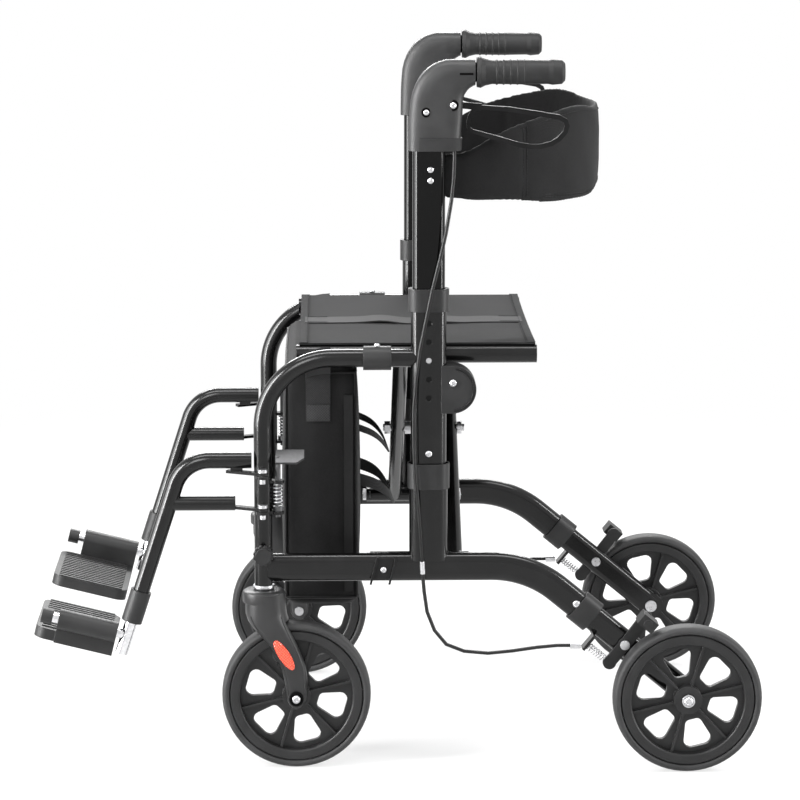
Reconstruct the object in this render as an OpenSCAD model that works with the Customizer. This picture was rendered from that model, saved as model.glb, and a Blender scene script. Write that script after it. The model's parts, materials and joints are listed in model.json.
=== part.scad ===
// Rollator that doubles as a transport chair: two tubular side frames, a folding cross brace
// with a cloth seat, casters in front, braked wheels behind, sliding handles and swing-away
// footrests. +X is forward, +Y is to the sitter's left, +Z is up, and the floor is z = 0.

/* [Wheels] */
// Outer diameter of all four wheels
wheel_d = 200; // [180:1:220]
// Width of a tyre
wheel_w = 34; // [28:1:40]
// Height of the rubber above the rim
tyre_h = 14; // [12:1:18]
// Distance between the front and rear axles
wheelbase = 523; // [480:1:560]
// Distance of the caster axle behind its swivel axis
caster_trail = 43; // [36:1:50]
// Diameter of the wheel axles
axle_d = 10; // [8:0.5:12]
// Diameter of the caster stem
stem_d = 12; // [10:0.5:14]
// Distance of a rear wheel outside its side frame
rear_wheel_out = 33; // [31:1:40]
// Number of spokes in a wheel
spoke_n = 6; // [5:1:8]

/* [Side frames] */
// Distance between the middles of the two side frames
frame_w = 480; // [460:1:520]
// Diameter of the front hoop tube
tube_d = 24; // [22:0.5:26]
// Wall of every tube
tube_wall = 1.8; // [1.2:0.1:2.4]
// Height of the hoop's level top
hoop_z = 557; // [530:1:580]
// Bend radius of the hoop
hoop_bend = 92; // [70:1:110]
// Lower end of the hoop tube
hoop_bottom = 250; // [246:1:254]
// Height of the lower rail's oval section
rail_h = 38; // [34:1:42]
// Thickness of the lower rail's oval section
rail_t = 22; // [20:1:25]
// Height of the lower rail's middle
rail_z = 274; // [270:1:280]
// Slope of the rear legs below the level
leg_slope = 39.5; // [36:0.5:42]
// Bend radius of the lower rail
leg_bend = 140; // [110:1:160]
// Distance from the rear axle to the end of the lower rail
leg_show = 168; // [155:1:180]
// Length of rear leg hidden in the lower rail
leg_tuck = 55; // [40:1:70]
// Distance of the posts behind the caster stems
post_setback = 220; // [205:1:235]

/* [Posts and handles] */
// Width of the upper post
upper_w = 43; // [40:0.5:46]
// Thickness of the upper post
upper_t = 22; // [20:0.5:24]
// Gap around a post that slides
slide_gap = 0.3; // [0.2:0.05:0.4]
// Gap around a post or leg that is fastened in its socket
fit_gap = 0.15; // [0.1:0.05:0.25]
// Lower end of the post
post_bottom = 312; // [306:1:320]
// Upper end of the post
post_top = 646; // [630:1:660]
// Upper end of the welded socket that holds the post
socket_top = 394; // [380:1:410]
// Lower end of the upper post
upper_bottom = 455; // [435:1:470]
// Height of the lower rim of the handle housing
handle_bottom = 832; // [825:1:850]
// Height of the grip's middle
grip_z = 934; // [925:1:955]
// Diameter of the grip
grip_d = 31; // [28:0.5:34]
// Length of the grip
grip_l = 115; // [100:1:125]
// Distance of the grip's front end behind the post
grip_back = 62; // [58:1:70]
// Height of the middle height hole
hole_z = 555; // [545:1:565]
// Spacing of the height holes
hole_step = 25; // [20:1:28]
// Number of height holes
hole_n = 5; // [3:2:5]
// Diameter of a height hole
hole_d = 8; // [6:0.5:9]

/* [Cross brace and seat] */
// Distance of the seat rails and the lower pivots inside the middle of a side frame
brace_in = 34; // [32:1:40]
// Height of the lower pivots
pivot_z = 277; // [274:1:282]
// Diameter of the seat rails
seat_tube_d = 25; // [22:0.5:26]
// Length of the seat rails
seat_l = 320; // [300:1:340]
// Distance of the seat rails' front ends behind the caster stems
seat_setback = 45; // [40:1:50]
// Diameter of the brace arms
arm_d = 20; // [18:0.5:22]
// Diameter of the lower pivot sleeves
sleeve_d = 20; // [19:0.5:22]
// Diameter of the lower pivot pins
pivot_d = 10; // [8:0.5:12]
// Length of a pivot sleeve
sleeve_l = 122; // [110:1:130]
// Distance from the front arm to the rear arm
arm_gap = 73; // [66:1:80]
// Thickness of the seat cloth
cloth_t = 3; // [2:0.5:4]

/* [Footrests] */
// Diameter of the footrest hanger tube
hanger_d = 22; // [20:0.5:24]
// Height of the hanger's upper arm
hanger_z = 420; // [410:1:430]
// Height of the hanger's lower arm
hanger_low_z = 362; // [355:1:368]
// Distance of the hanger's corner in front of the caster stem
hanger_reach = 106; // [98:1:115]
// Lean of the hanger's leg from upright
hanger_lean = 18; // [14:0.5:22]
// Bend radius of the hanger
hanger_bend = 48; // [42:1:54]
// Length of the hanger from its corner to its lower end
hanger_l = 226; // [215:1:235]
// Diameter of the sliding footrest leg
foot_leg_d = 17; // [15:0.5:18]
// Distance from the hanger's corner to the footplate rod
rod_drop = 250; // [244:1:258]
// Diameter of the footplate rod
rod_d = 14; // [12:0.5:16]
// Tilt of the footplate, front end up
plate_tilt = 14; // [8:0.5:18]
// Length of a footplate along its rod
plate_l = 108; // [95:1:120]
// Width of a footplate from its rod to its inner edge
plate_w = 170; // [150:1:176]
// Thickness of a footplate's rim
plate_t = 15; // [12:0.5:18]
// Number of raised ribs on a footplate
rib_n = 15; // [9:1:18]
// Distance of the swing pegs outside the hoop tube's middle
peg_out = 20; // [19:0.5:23]
// Diameter of the swing pegs
peg_d = 8; // [7:0.5:9]

/* [Soft parts] */
// Depth of the bag, front to back
bag_d = 100; // [90:1:106]
// Height of the bag
bag_h = 332; // [300:1:334]
// Width of the bag
bag_w = 386; // [360:1:388]
// Thickness of the backrest band
band_t = 13; // [9:1:16]
// Height of the band's lower edge at the posts
band_z = 772; // [762:1:776]
// Height of the band at the posts
band_end_h = 54; // [44:1:58]
// Height of the band at the middle of the back
band_mid_h = 122; // [100:1:130]
// How far the band's lower edge sinks behind the posts
band_drop = 22; // [10:1:30]
// Diameter of a brake cable
cable_d = 5; // [4:0.5:5.5]

/* [Hidden] */
$fn = 48;
LEFT = 1;
RIGHT = -1;
run_gap = 0.06;
clear = 0.3;
black = "#1c1c1e";
plastic = "#2b2b2d";
cloth = "#333436";
rubber = "#242426";
steel = "#b9bcc0";

wheel_r = wheel_d / 2;
half_w = frame_w / 2;
foot_x = hanger_reach + rod_drop * sin(hanger_lean);
plate_start = 14;
plate_drop = 21;
plate_front = plate_start + plate_l;
plate_low = plate_drop + plate_t;
front_reach = foot_x + plate_front * cos(plate_tilt) + plate_low * sin(plate_tilt);
rear_reach = caster_trail + wheelbase + wheel_r;
stem_x = (rear_reach - front_reach) / 2;
caster_x = stem_x - caster_trail;
rear_x = caster_x - wheelbase;
post_x = stem_x - post_setback;
post_w = upper_w + 2 * (slide_gap + tube_wall);
post_t = upper_t + 2 * (slide_gap + tube_wall);
socket_w = post_w + 2 * (fit_gap + tube_wall);
socket_t = post_t + 2 * (fit_gap + tube_wall);
leg_h = rail_h - 2 * (tube_wall + fit_gap);
leg_t = rail_t - 2 * (tube_wall + fit_gap);
leg_dir = [-cos(leg_slope), -sin(leg_slope)];
leg_up = [-sin(leg_slope), cos(leg_slope)];
rear_axle = [rear_x, wheel_r];
rail_corner = rear_axle - leg_dir * (rail_z - wheel_r) / sin(leg_slope);
rail_end = rear_axle - leg_dir * leg_show;
brake_pivot = rear_axle - leg_dir * 107;
brake_stop = brake_pivot - leg_dir * 38 - leg_up * (rail_h / 2 + 13);
brake_y = leg_t / 2 + 4;
brake_t = 5;
brake_gap = 0.6;
hub_l = wheel_w - 2;
brace_x = post_x + 11;
lug_t = 5;
brace_y = half_w - brace_in;
arm_rise = hoop_z - pivot_z;
arm_angle = atan2(arm_rise, 2 * brace_y);
arm_l = norm([arm_rise, 2 * brace_y]);
front_arm_x = brace_x + arm_gap / 2 - 11.5;
rear_arm_x = front_arm_x - arm_gap;
seat_front = stem_x - seat_setback;
hang_dir = [sin(hanger_lean), -cos(hanger_lean)];
hang_corner = [stem_x + hanger_reach, hanger_z];
rod_at = hang_corner + hang_dir * rod_drop;
handle_corner = [post_x, grip_z];
peg_plate_t = 4;
knob_rise = 21;
knob_z = rail_z + knob_rise;
peg_top = hanger_z - hanger_d / 2 - 2;
peg_low = hanger_low_z - 3;
lever_back = 31;
lever_z = 892;
lever_pivot = [post_x - lever_back, lever_z];
latch_at = [stem_x - tube_d / 2 - 8, 4];
latch_low = hanger_low_z - 14;
latch_r = 3.6;
latch_span = 42;
latch_high = latch_low + latch_span;
latch_flange = 6;
flange_low = latch_low + peg_plate_t + clear;
flange_top = flange_low + latch_flange;

// Side frames are drawn in a plane at y = 0 with +Y outwards, then put on their side.
module on_side(side) {
    mirror([0, side < 0 ? 1 : 0, 0]) translate([0, half_w, 0]) children();
}

// Oval tube section: w in the plane of the frame, t across it.
module oval(w, t) {
    square([w - t, t], center = true);
    for (i = [-1, 1]) translate([i * (w - t) / 2, 0]) circle(d = t);
}

module round_rect(w, h, r) {
    square([w - 2 * r, h], center = true);
    square([w, h - 2 * r], center = true);
    for (i = [-1, 1], j = [-1, 1]) translate([i * (w / 2 - r), j * (h / 2 - r)]) circle(r);
}

// Straight length of a section between two points of the frame's plane.
module run(p, q) {
    d = q - p;
    translate([p[0], 0, p[1]]) rotate([0, 90 - atan2(d[1], d[0]), 0])
        linear_extrude(norm(d)) children();
}

function unit(v) = v / norm(v);
function turn(p, i) = 180 - acos(unit(p[i - 1] - p[i]) * unit(p[i + 1] - p[i]));
function trim(p, r, i) = i == 0 || i == len(p) - 1 ? 0 : r * tan(turn(p, i) / 2);
function wrap(a) = a > 180 ? a - 360 : a < -180 ? a + 360 : a;

// Outline moved outwards by d; the points run counter-clockwise.
function side_normal(a, b) = unit([b[1] - a[1], a[0] - b[0]]);
function moved_out(p, d) = [for (i = [0 : len(p) - 1])
    let (n = len(p), u = side_normal(p[(i + n - 1) % n], p[i]),
         v = side_normal(p[i], p[(i + 1) % n]), w = unit(u + v))
    p[i] + w * d / (w * u)];
// A section carried along a line of points with one bend radius at the corners.
module bent_bar(p, r, bulge = 1) {
    for (i = [0 : len(p) - 2]) {
        d = unit(p[i + 1] - p[i]);
        run(p[i] + d * trim(p, r, i), p[i + 1] - d * trim(p, r, i + 1)) children();
    }
    if (len(p) > 2) for (i = [1 : len(p) - 2]) {
        a = unit(p[i - 1] - p[i]);
        b = unit(p[i + 1] - p[i]);
        c = p[i] + unit(a + b) * r / cos(turn(p, i) / 2);
        s = p[i] + a * trim(p, r, i) - c;
        e = p[i] + b * trim(p, r, i) - c;
        sweep = wrap(atan2(e[1], e[0]) - atan2(s[1], s[0]));
        start = sweep > 0 ? atan2(s[1], s[0]) : atan2(e[1], e[0]);
        translate([c[0], 0, c[1]]) rotate([90, 0, 0]) rotate([0, 0, start])
            rotate_extrude(angle = abs(sweep)) translate([r, 0]) scale(bulge) children();
    }
}

// Pin along +Y from y0 to y1 at a point of the frame's plane, with a round head at each end.
module cross_pin(p, y0, y1, d, head) {
    translate([p[0], y0, p[1]]) rotate([-90, 0, 0]) cylinder(d = d, h = y1 - y0);
    translate([p[0], y0 - 3, p[1]]) rotate([-90, 0, 0]) cylinder(d = head, h = 3);
    translate([p[0], y1, p[1]]) rotate([-90, 0, 0]) cylinder(d = head, h = 3);
}

module cross_hole(p, d) {
    translate([p[0], -60, p[1]]) rotate([-90, 0, 0]) cylinder(d = d, h = 120);
}

// Tube swept through a list of points, with flat ends; ref is never along the tube.
function ring(path, i, r, n, ref) =
    let (a = path[max(i - 1, 0)], b = path[min(i + 1, len(path) - 1)],
         t = unit(b - a), u = unit(cross(ref, t)), v = cross(t, u))
    [for (k = [0 : n - 1]) path[i] + r * (cos(360 * k / n) * u + sin(360 * k / n) * v)];
module swept_tube(path, r, n, ref) {
    m = len(path);
    points = [for (i = [0 : m - 1]) each ring(path, i, r, n, ref)];
    sides = [for (i = [0 : m - 2], k = [0 : n - 1], h = [0, 1])
        let (a = i * n + k, b = i * n + (k + 1) % n)
        h == 0 ? [a, a + n, b] : [b, a + n, b + n]];
    caps = [for (k = [1 : n - 2], h = [0, 1])
        h == 0 ? [0, k, k + 1] : [(m - 1) * n, (m - 1) * n + k + 1, (m - 1) * n + k]];
    polyhedron(points, concat(sides, caps));
}

// Coil of a round wire around an axis direction in the frame's plane.
function coil(at, dir, l, r, turns) =
    let (side = [0, 1, 0], up = cross(dir, side))
    [for (i = [0 : 8 * turns]) let (a = 45 * i)
        at + dir * l * i / (8 * turns) + r * (cos(a) * side + sin(a) * up)];

module front_hoop(side) {
    line = [[stem_x, hoop_bottom], [stem_x, hoop_z], [post_x, hoop_z]];
    color(black) on_side(side) difference() {
        union() {
            bent_bar(line, hoop_bend) circle(d = tube_d);
            for (z = [peg_top, peg_low]) translate([stem_x, 0, z - 2 * peg_plate_t - clear]) {
                translate([0, peg_out, 0]) cylinder(r = 9, h = peg_plate_t);
                translate([-9, 0, 0]) cube([18, peg_out, peg_plate_t]);
            }
            for (z = [latch_low, latch_high]) translate([latch_at[0], latch_at[1], z]) {
                cylinder(r = 8, h = peg_plate_t);
                translate([0, -8, 0]) cube([stem_x - latch_at[0], 12, peg_plate_t]);
            }
        }
        bent_bar([line[0] - [0, 1], line[1], line[2]], hoop_bend)
            circle(d = tube_d - 2 * tube_wall);
        translate([post_x, 0, hoop_z - tube_d]) linear_extrude(2 * tube_d) oval(post_w, post_t);
        for (z = [peg_top, peg_low]) translate([stem_x, peg_out, z - 20])
            cylinder(d = peg_d + 2 * run_gap, h = 30);
        translate([latch_at[0], latch_at[1], latch_low - 1])
            cylinder(r = latch_r + run_gap, h = latch_high - latch_low + 10);
    }
}

module lower_rail(side) {
    line = [[stem_x, rail_z], rail_corner, rail_end];
    color(black) on_side(side) difference() {
        union() {
            bent_bar(line, leg_bend) oval(rail_h, rail_t);
            translate([post_x, 0, rail_z + rail_h / 4])
                linear_extrude(socket_top - rail_z - rail_h / 4) oval(socket_w, socket_t);
            for (i = [-1, 1])
                translate([brace_x + i * (sleeve_l / 2 + clear + lug_t / 2) - lug_t / 2, 0, pivot_z])
                    rotate([90, 0, 90]) linear_extrude(lug_t) {
                        translate([-brace_in, 0]) circle(d = sleeve_d);
                        translate([-brace_in, -sleeve_d / 2]) square([brace_in, sleeve_d]);
                    }
        }
        bent_bar([line[0], line[1], line[2] + leg_dir], leg_bend)
            oval(rail_h - 2 * tube_wall, rail_t - 2 * tube_wall);
        translate([stem_x, 0, rail_z - rail_h]) cylinder(d = tube_d, h = 2 * rail_h);
        translate([post_x, 0, rail_z + rail_h / 2]) linear_extrude(socket_top)
            oval(post_w + 2 * fit_gap, post_t + 2 * fit_gap);
        translate([brace_x - sleeve_l, -brace_in, pivot_z]) rotate([0, 90, 0])
            cylinder(d = pivot_d + 2 * run_gap, h = 2 * sleeve_l);
    }
}

module post(side) {
    color(black) on_side(side) difference() {
        translate([post_x, 0, post_bottom]) linear_extrude(post_top - post_bottom) difference() {
            oval(post_w, post_t);
            oval(post_w - 2 * tube_wall, post_t - 2 * tube_wall);
        }
        for (i = [0 : hole_n - 1])
            translate([post_x, 0, hole_z + (i - (hole_n - 1) / 2) * hole_step])
                rotate([-90, 0, 0]) cylinder(d = hole_d, h = post_t);
    }
}

module collars(side) {
    bush_h = 30;
    color(plastic) on_side(side) {
        difference() {
            translate([post_x, 0, post_top - 26]) linear_extrude(30) oval(post_w + 7, post_t + 6);
            translate([post_x, 0, post_top - 30]) linear_extrude(30)
                oval(post_w + 2 * fit_gap, post_t + 2 * fit_gap);
            translate([post_x, 0, post_top - 1]) linear_extrude(30)
                oval(upper_w + 2 * slide_gap, upper_t + 2 * slide_gap);
        }
        difference() {
            translate([post_x, 0, socket_top - 12]) linear_extrude(34)
                oval(socket_w + 5, socket_t + 5);
            translate([post_x, 0, socket_top - 13]) linear_extrude(13)
                oval(socket_w + 2 * fit_gap, socket_t + 2 * fit_gap);
            translate([post_x, 0, socket_top - 1]) linear_extrude(40)
                oval(post_w + 2 * fit_gap, post_t + 2 * fit_gap);
            translate([post_x, 0, socket_top + 4]) linear_extrude(40)
                oval(socket_w + 1, socket_t + 1);
        }
        difference() {
            run(rail_end - leg_dir * 22, rail_end + leg_dir * 6) oval(rail_h + 7, rail_t + 7);
            run(rail_end - leg_dir * 30, rail_end)
                oval(rail_h + 2 * fit_gap, rail_t + 2 * fit_gap);
            run(rail_end - leg_dir * 2, rail_end + leg_dir * 9)
                oval(leg_h + 2 * fit_gap, leg_t + 2 * fit_gap);
        }
        translate([stem_x, 0, hoop_bottom]) difference() {
            union() {
                translate([0, 0, -4]) cylinder(d = tube_d + 3, h = 4);
                cylinder(d = tube_d - 2 * tube_wall, h = bush_h);
            }
            translate([0, 0, -5]) cylinder(d = stem_d + 2 * run_gap, h = bush_h + 10);
        }
    }
}

module rear_leg(side) {
    top = rail_end - leg_dir * leg_tuck;
    color(black) on_side(side) difference() {
        union() {
            run(top, rear_axle + leg_dir * 6) oval(leg_h, leg_t);
            translate([rear_axle[0], 0, rear_axle[1]]) rotate([90, 0, 0])
                cylinder(d = leg_h + 3, h = leg_t - 3, center = true);
            translate([rear_axle[0], 0, rear_axle[1]]) rotate([-90, 0, 0])
                cylinder(d = 24, h = rear_wheel_out - hub_l / 2 - clear);
            translate([brake_stop[0], 0, brake_stop[1]]) rotate([0, -leg_slope, 0])
                translate([0, brake_y - 13, -8]) cube([4, 20, 24]);
        }
        run(top - leg_dir, brake_pivot - leg_dir * 14) oval(leg_h - 5, leg_t - 5);
        cross_hole(rear_axle, axle_d + 2 * run_gap);
        cross_hole(brake_pivot, peg_d + 2 * run_gap);
    }
}

module seat_rests(side) {
    rest_x = post_x + 68;
    rest_l = 37;
    wall = 4;
    stop_r = 32;
    stop_at = [post_x - 31, hoop_z - 41];
    color(plastic) on_side(side) {
        translate([rest_x - rest_l / 2, 0, hoop_z]) rotate([90, 0, 90]) linear_extrude(rest_l)
            difference() {
                union() {
                    circle(d = tube_d + 2 * wall);
                    translate([-brace_in, 0]) circle(d = seat_tube_d + 2 * wall);
                    translate([-brace_in, -14]) square([brace_in, 14]);
                }
                circle(d = tube_d + 2 * fit_gap);
                translate([-brace_in, 0]) circle(d = seat_tube_d + 2 * clear);
                translate([-brace_in - seat_tube_d / 2 - clear, 0])
                    square([seat_tube_d + 2 * clear, 40]);
                translate([-80, 8]) square([80 - tube_d / 2 - 1, 40]);
            }
        difference() {
            translate([0, 12, 0]) rotate([90, 0, 0]) linear_extrude(32) {
                translate(stop_at) circle(r = stop_r);
                translate([stop_at[0], stop_at[1] - stop_r]) square([16, 2 * stop_r]);
            }
            translate([post_x, 0, post_bottom]) linear_extrude(post_top - post_bottom)
                oval(post_w + 2 * fit_gap, post_t + 2 * fit_gap);
        }
    }
}

module frame_pins(side) {
    color(steel) on_side(side) {
        for (z = [peg_top, peg_low]) translate([stem_x, peg_out, z]) {
            translate([0, 0, -2 * peg_plate_t - 7]) cylinder(d = peg_d, h = 2 * peg_plate_t + 10);
            translate([0, 0, clear]) cylinder(d = peg_d + 5, h = 4);
        }
        translate([brace_x - sleeve_l / 2 - lug_t - 6, -brace_in, pivot_z]) rotate([0, 90, 0])
            cylinder(d = pivot_d, h = sleeve_l + 2 * lug_t + 12);
        for (i = [-1, 1])
            translate([brace_x + i * (sleeve_l / 2 + lug_t + 2 * clear + 2.5) - 2.5, -brace_in, pivot_z])
                rotate([0, 90, 0]) cylinder(d = pivot_d + 7, h = 5, $fn = 6);
        cross_pin(rear_axle, -leg_t / 2 - clear, rear_wheel_out + hub_l / 2 + 2, axle_d, axle_d + 7);
        cross_pin(brake_pivot, -leg_t / 2 - clear, leg_t / 2 + brake_gap + brake_t + clear, peg_d, peg_d + 5);
        translate([brake_stop[0] + 9.5, brake_y, brake_stop[1]]) rotate([0, 90, 0]) difference() {
            cylinder(d = 9, h = 14);
            translate([0, 0, -1]) cylinder(d = 2.4, h = 20);
        }
        difference() {
            translate([stem_x, 0, knob_z]) rotate([-90, 0, 0]) cylinder(d = 6, h = tube_d / 2 + 10);
            translate([stem_x, 0, knob_z - 10]) cylinder(d = tube_d, h = 20);
        }
    }
}

// Route of a brake cable from the handle housing to the brake's cable stop, by hand:
// distance from the post, distance out of the frame's plane, height.
cable_route = [
    [-33, 10, handle_bottom - 0.4], [-33, 10, 820], [-32, 11, 796], [-29, 13, 766],
    [-22, 17, 725], [-14, 20, 690], [-4, 21, 650], [4, 21, 610], [12, 20, 570], [17, 19, 530],
    [20, 19, 490], [20, 22, 440], [18, 23, 400], [14, 22, 360], [11, 21, 320], [9, 19, 292],
    [8, 17, 268], [6, 17, 244], [2, 17, 216], [-8, 16, 190], [-24, 14, 170], [-48, 12, 160],
    [-80, 12, 157], [-112, 12, 160], [-145, 13, 165], [-172, 13, brake_stop[1]],
    [brake_stop[0] + 23.8 - post_x, brake_y, brake_stop[1]]];
module brake_cable(side) {
    route = [for (q = cable_route) [post_x + q[0], q[1], q[2]]];
    color(rubber) on_side(side) swept_tube(route, cable_d / 2, 8, [0, 1, 0]);
}

// The brake coil pushes the brake arm off the tyre, and the latch coil pulls the latch down.
spring_l = 27;
wire_r = 0.9;
leg_line = [leg_dir[0], 0, leg_dir[1]];
spring_at = [brake_stop[0], brake_y, brake_stop[1]] + leg_line * (wire_r + clear);
brake_coil = coil(spring_at, leg_line, spring_l, 5, 7);
latch_coil = coil([latch_at[0], latch_at[1], flange_top + clear + wire_r], [0, 0, 1],
    latch_high - flange_top - 2 * (clear + wire_r), 5.6, 6);
function least_gap(path) = min([for (i = [0 : len(path) - 6], j = [i + 5 : len(path) - 1])
    norm(path[i] - path[j])]) - 2 * wire_r;
echo(brake_coil_gap = least_gap(brake_coil), latch_coil_gap = least_gap(latch_coil));
module springs(side) {
    color(steel) on_side(side) {
        swept_tube(brake_coil, wire_r, 6, leg_line);
        swept_tube([spring_at, spring_at + leg_line * spring_l], 0.8, 6, [0, 1, 0]);
        swept_tube(latch_coil, wire_r, 6, [0, 0, 1]);
    }
}

// Side view of the caster fork, a swan neck from the crown down to the hub: distance in front
// of the axle and height above it.
fork_line = [[64, 142], [67.5, 128], [68, 114], [63, 100], [49, 84], [34, 67], [22, 44], [16, 20],
    [14, 0], [11, -9], [0, -14.5], [-11, -9], [-14, 0], [-15.6, 20], [-13, 44], [-6, 64], [4, 88],
    [12, 108], [14, 130], [15, 142]];
fork_gap = 2.5;
fork_leg = 9;
module caster_fork(side) {
    inner = wheel_w + 2 * fork_gap;
    wide = inner + 2 * fork_leg;
    color(plastic) on_side(side) difference() {
        union() {
            for (q = [[0, 3], [1.2, 1.2], [3, 0]]) translate([caster_x, wide / 2 - q[1], wheel_r])
                rotate([90, 0, 0]) linear_extrude(wide - 2 * q[1])
                    polygon(moved_out(fork_line, -q[0]));
            translate([stem_x, 0, wheel_r + 124]) cylinder(d = 52, h = 20);
        }
        translate([caster_x, inner / 2, wheel_r]) rotate([90, 0, 0])
            cylinder(r = wheel_r + 4, h = inner);
        translate([caster_x - wheel_r, -inner / 2, 0]) cube([2 * wheel_r, inner, wheel_r]);
        cross_hole([caster_x, wheel_r], axle_d + 2 * run_gap);
        translate([stem_x, 0, wheel_r + 90]) cylinder(d = stem_d + 2 * run_gap, h = 80);
    }
}

module caster_bolts(side) {
    out = wheel_w / 2 + fork_gap + fork_leg;
    color(steel) on_side(side) {
        cross_pin([caster_x, wheel_r], -out - clear, out + clear, axle_d, axle_d + 3);
        translate([stem_x, 0, wheel_r + 112]) cylinder(d = stem_d, h = hoop_bottom + 26 - wheel_r - 112);
    }
}

// Opening between two spokes: a rounded keystone with its point towards the hub.
function arc_points(c, r, from, to) = [for (k = [0 : 5])
    let (a = from + (to - from) * k / 5) c + r * [cos(a), sin(a)]];
function keystone(near, far) = let (lean = 110, r1 = 7, r2 = 9.5, c1 = [near + r1, 4.5], c2 = [far - r2, 9])
    concat(arc_points(c2, r2, 0, lean), arc_points(c1, r1, lean, 180),
        arc_points([c1[0], -c1[1]], r1, 180, 360 - lean),
        arc_points([c2[0], -c2[1]], r2, 360 - lean, 360));

module rim(at, out) {
    rim_r = wheel_r - tyre_h;
    ring_t = 9;
    hub_r = 19;
    web_t = 8;
    rib_t = 3.4;
    inner_r = rim_r - ring_t;
    translate([at[0], out, at[1]]) rotate([90, 0, 0]) difference() {
        union() {
            difference() {
                cylinder(r = rim_r, h = wheel_w - 8, center = true);
                cylinder(r = inner_r, h = wheel_w, center = true);
            }
            cylinder(r = inner_r + 1, h = web_t, center = true);
            cylinder(r = hub_r, h = hub_l, center = true);
            for (i = [0 : spoke_n - 1]) rotate([0, 0, 360 * (i + 0.5) / spoke_n + 16])
                translate([hub_r - 3, -rib_t / 2, -10]) cube([inner_r - hub_r + 4, rib_t, 20]);
        }
        for (i = [0 : spoke_n - 1]) rotate([0, 0, 360 * i / spoke_n + 16])
            linear_extrude(wheel_w, center = true) polygon(keystone(hub_r + 11, inner_r - 9));
        cylinder(d = axle_d + 2 * run_gap, h = wheel_w + 2, center = true);
    }
}

module tyre(at, out) {
    rim_r = wheel_r - tyre_h;
    edge = tyre_h / 2 - 0.5;
    translate([at[0], out, at[1]]) rotate([90, 0, 0]) rotate_extrude() difference() {
        union() {
            translate([rim_r, -wheel_w / 2]) square([tyre_h - edge, wheel_w]);
            translate([rim_r, -wheel_w / 2 + edge]) square([tyre_h, wheel_w - 2 * edge]);
            for (i = [-1, 1]) translate([wheel_r - edge, i * (wheel_w / 2 - edge)]) circle(edge);
        }
        translate([rim_r - 1, -wheel_w / 2 + 4 - fit_gap]) square([1 + fit_gap, wheel_w - 8 + 2 * fit_gap]);
    }
}

module front_rim(side) { color(plastic) on_side(side) rim([caster_x, wheel_r], 0); }
module front_tyre(side) { color(rubber) on_side(side) tyre([caster_x, wheel_r], 0); }
module rear_rim(side) { color(plastic) on_side(side) rim(rear_axle, rear_wheel_out); }
module rear_tyre(side) { color(rubber) on_side(side) tyre(rear_axle, rear_wheel_out); }

module upper_post(side) {
    color(black) on_side(side) difference() {
        translate([post_x, 0, upper_bottom]) linear_extrude(handle_bottom + 50 - upper_bottom)
            difference() {
                oval(upper_w, upper_t);
                oval(upper_w - 2 * tube_wall, upper_t - 2 * tube_wall);
            }
        translate([post_x, 0, hole_z]) rotate([-90, 0, 0]) cylinder(d = hole_d, h = upper_t);
    }
}

// Moulded housing that turns from the upper post to the grip, with a slot for the brake lever.
// Side outline: distance in front of the post and height above the housing's lower rim.
handle_line = [[26.5, 0], [26, 38], [24, 66], [18, 86], [8, 102], [-6, 113], [-22, 118.5],
    [-40, 119], [-62, 119], [-62, 85], [-54, 82], [-47, 74], [-44.5, 64], [-44, 48], [-42.5, 30],
    [-41, 0]];
module handle(side) {
    deep = 33;
    lever_gap = 9;
    band_h = 18;
    end = [post_x - grip_back, grip_z];
    outline = [for (q = handle_line)
        [post_x + (q[0] < -50 ? q[0] + 62 - grip_back : q[0]), handle_bottom + q[1]]];
    color(plastic) on_side(side) {
        difference() {
            union() {
                for (q = [[0, 9.5], [0.8, 12], [2.2, 14.2], [4.4, 15.8], [8, 16.5]])
                    rotate([90, 0, 0]) linear_extrude(2 * q[1], center = true)
                        polygon(moved_out(outline, -q[0]));
                translate([post_x - 7, 0, handle_bottom]) linear_extrude(band_h) oval(70, deep + 3);
                run(end + [8, 0], end - [grip_l - 12, 0]) circle(d = 18);
            }
            translate([post_x, 0, handle_bottom - 1]) linear_extrude(51 + 2 * fit_gap)
                oval(upper_w + 2 * fit_gap, upper_t + 2 * fit_gap);
            translate([lever_pivot[0] - 60, -lever_gap / 2, lever_pivot[1] - 44])
                cube([74, lever_gap, 58]);
            cross_hole(lever_pivot, 6 + 2 * run_gap);
        }
        translate([lever_pivot[0], -deep / 2, lever_pivot[1]]) rotate([-90, 0, 0])
            cylinder(d = 6, h = deep);
    }
}

module grip(side) {
    start = grip_back + fit_gap;
    r = grip_d / 2;
    color(rubber) on_side(side) translate([post_x - start, 0, grip_z]) rotate([0, -90, 0])
        difference() {
            rotate_extrude() {
                polygon([[0, 0], [r + 4, 0], [r + 5, 5], [r + 2, 11], [r, 20], [r + 0.6, 60],
                    [r, grip_l - 22], [r + 1.2, grip_l - 16], [r, grip_l - 4], [r - 4, grip_l],
                    [0, grip_l]]);
                for (i = [0 : 4]) translate([r - 0.4, 26 + 9 * i]) circle(d = 3);
            }
            translate([0, 0, -1]) cylinder(d = 18 + 2 * fit_gap, h = grip_l - 11);
        }
}

// Closed finger loop under the grip, with a tongue that turns on the pin in the housing.
lever_loop = [[-58, 885], [-68, 888.5], [-103, 885.8], [-142, 880], [-170, 875.2], [-178, 870.5],
    [-180.5, 864], [-178, 856], [-170, 846.6], [-160, 840.6], [-146, 837], [-132, 836.8],
    [-113, 840.6], [-84, 849.2], [-57, 857], [-52, 861], [-51, 868], [-53, 877]];

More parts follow.
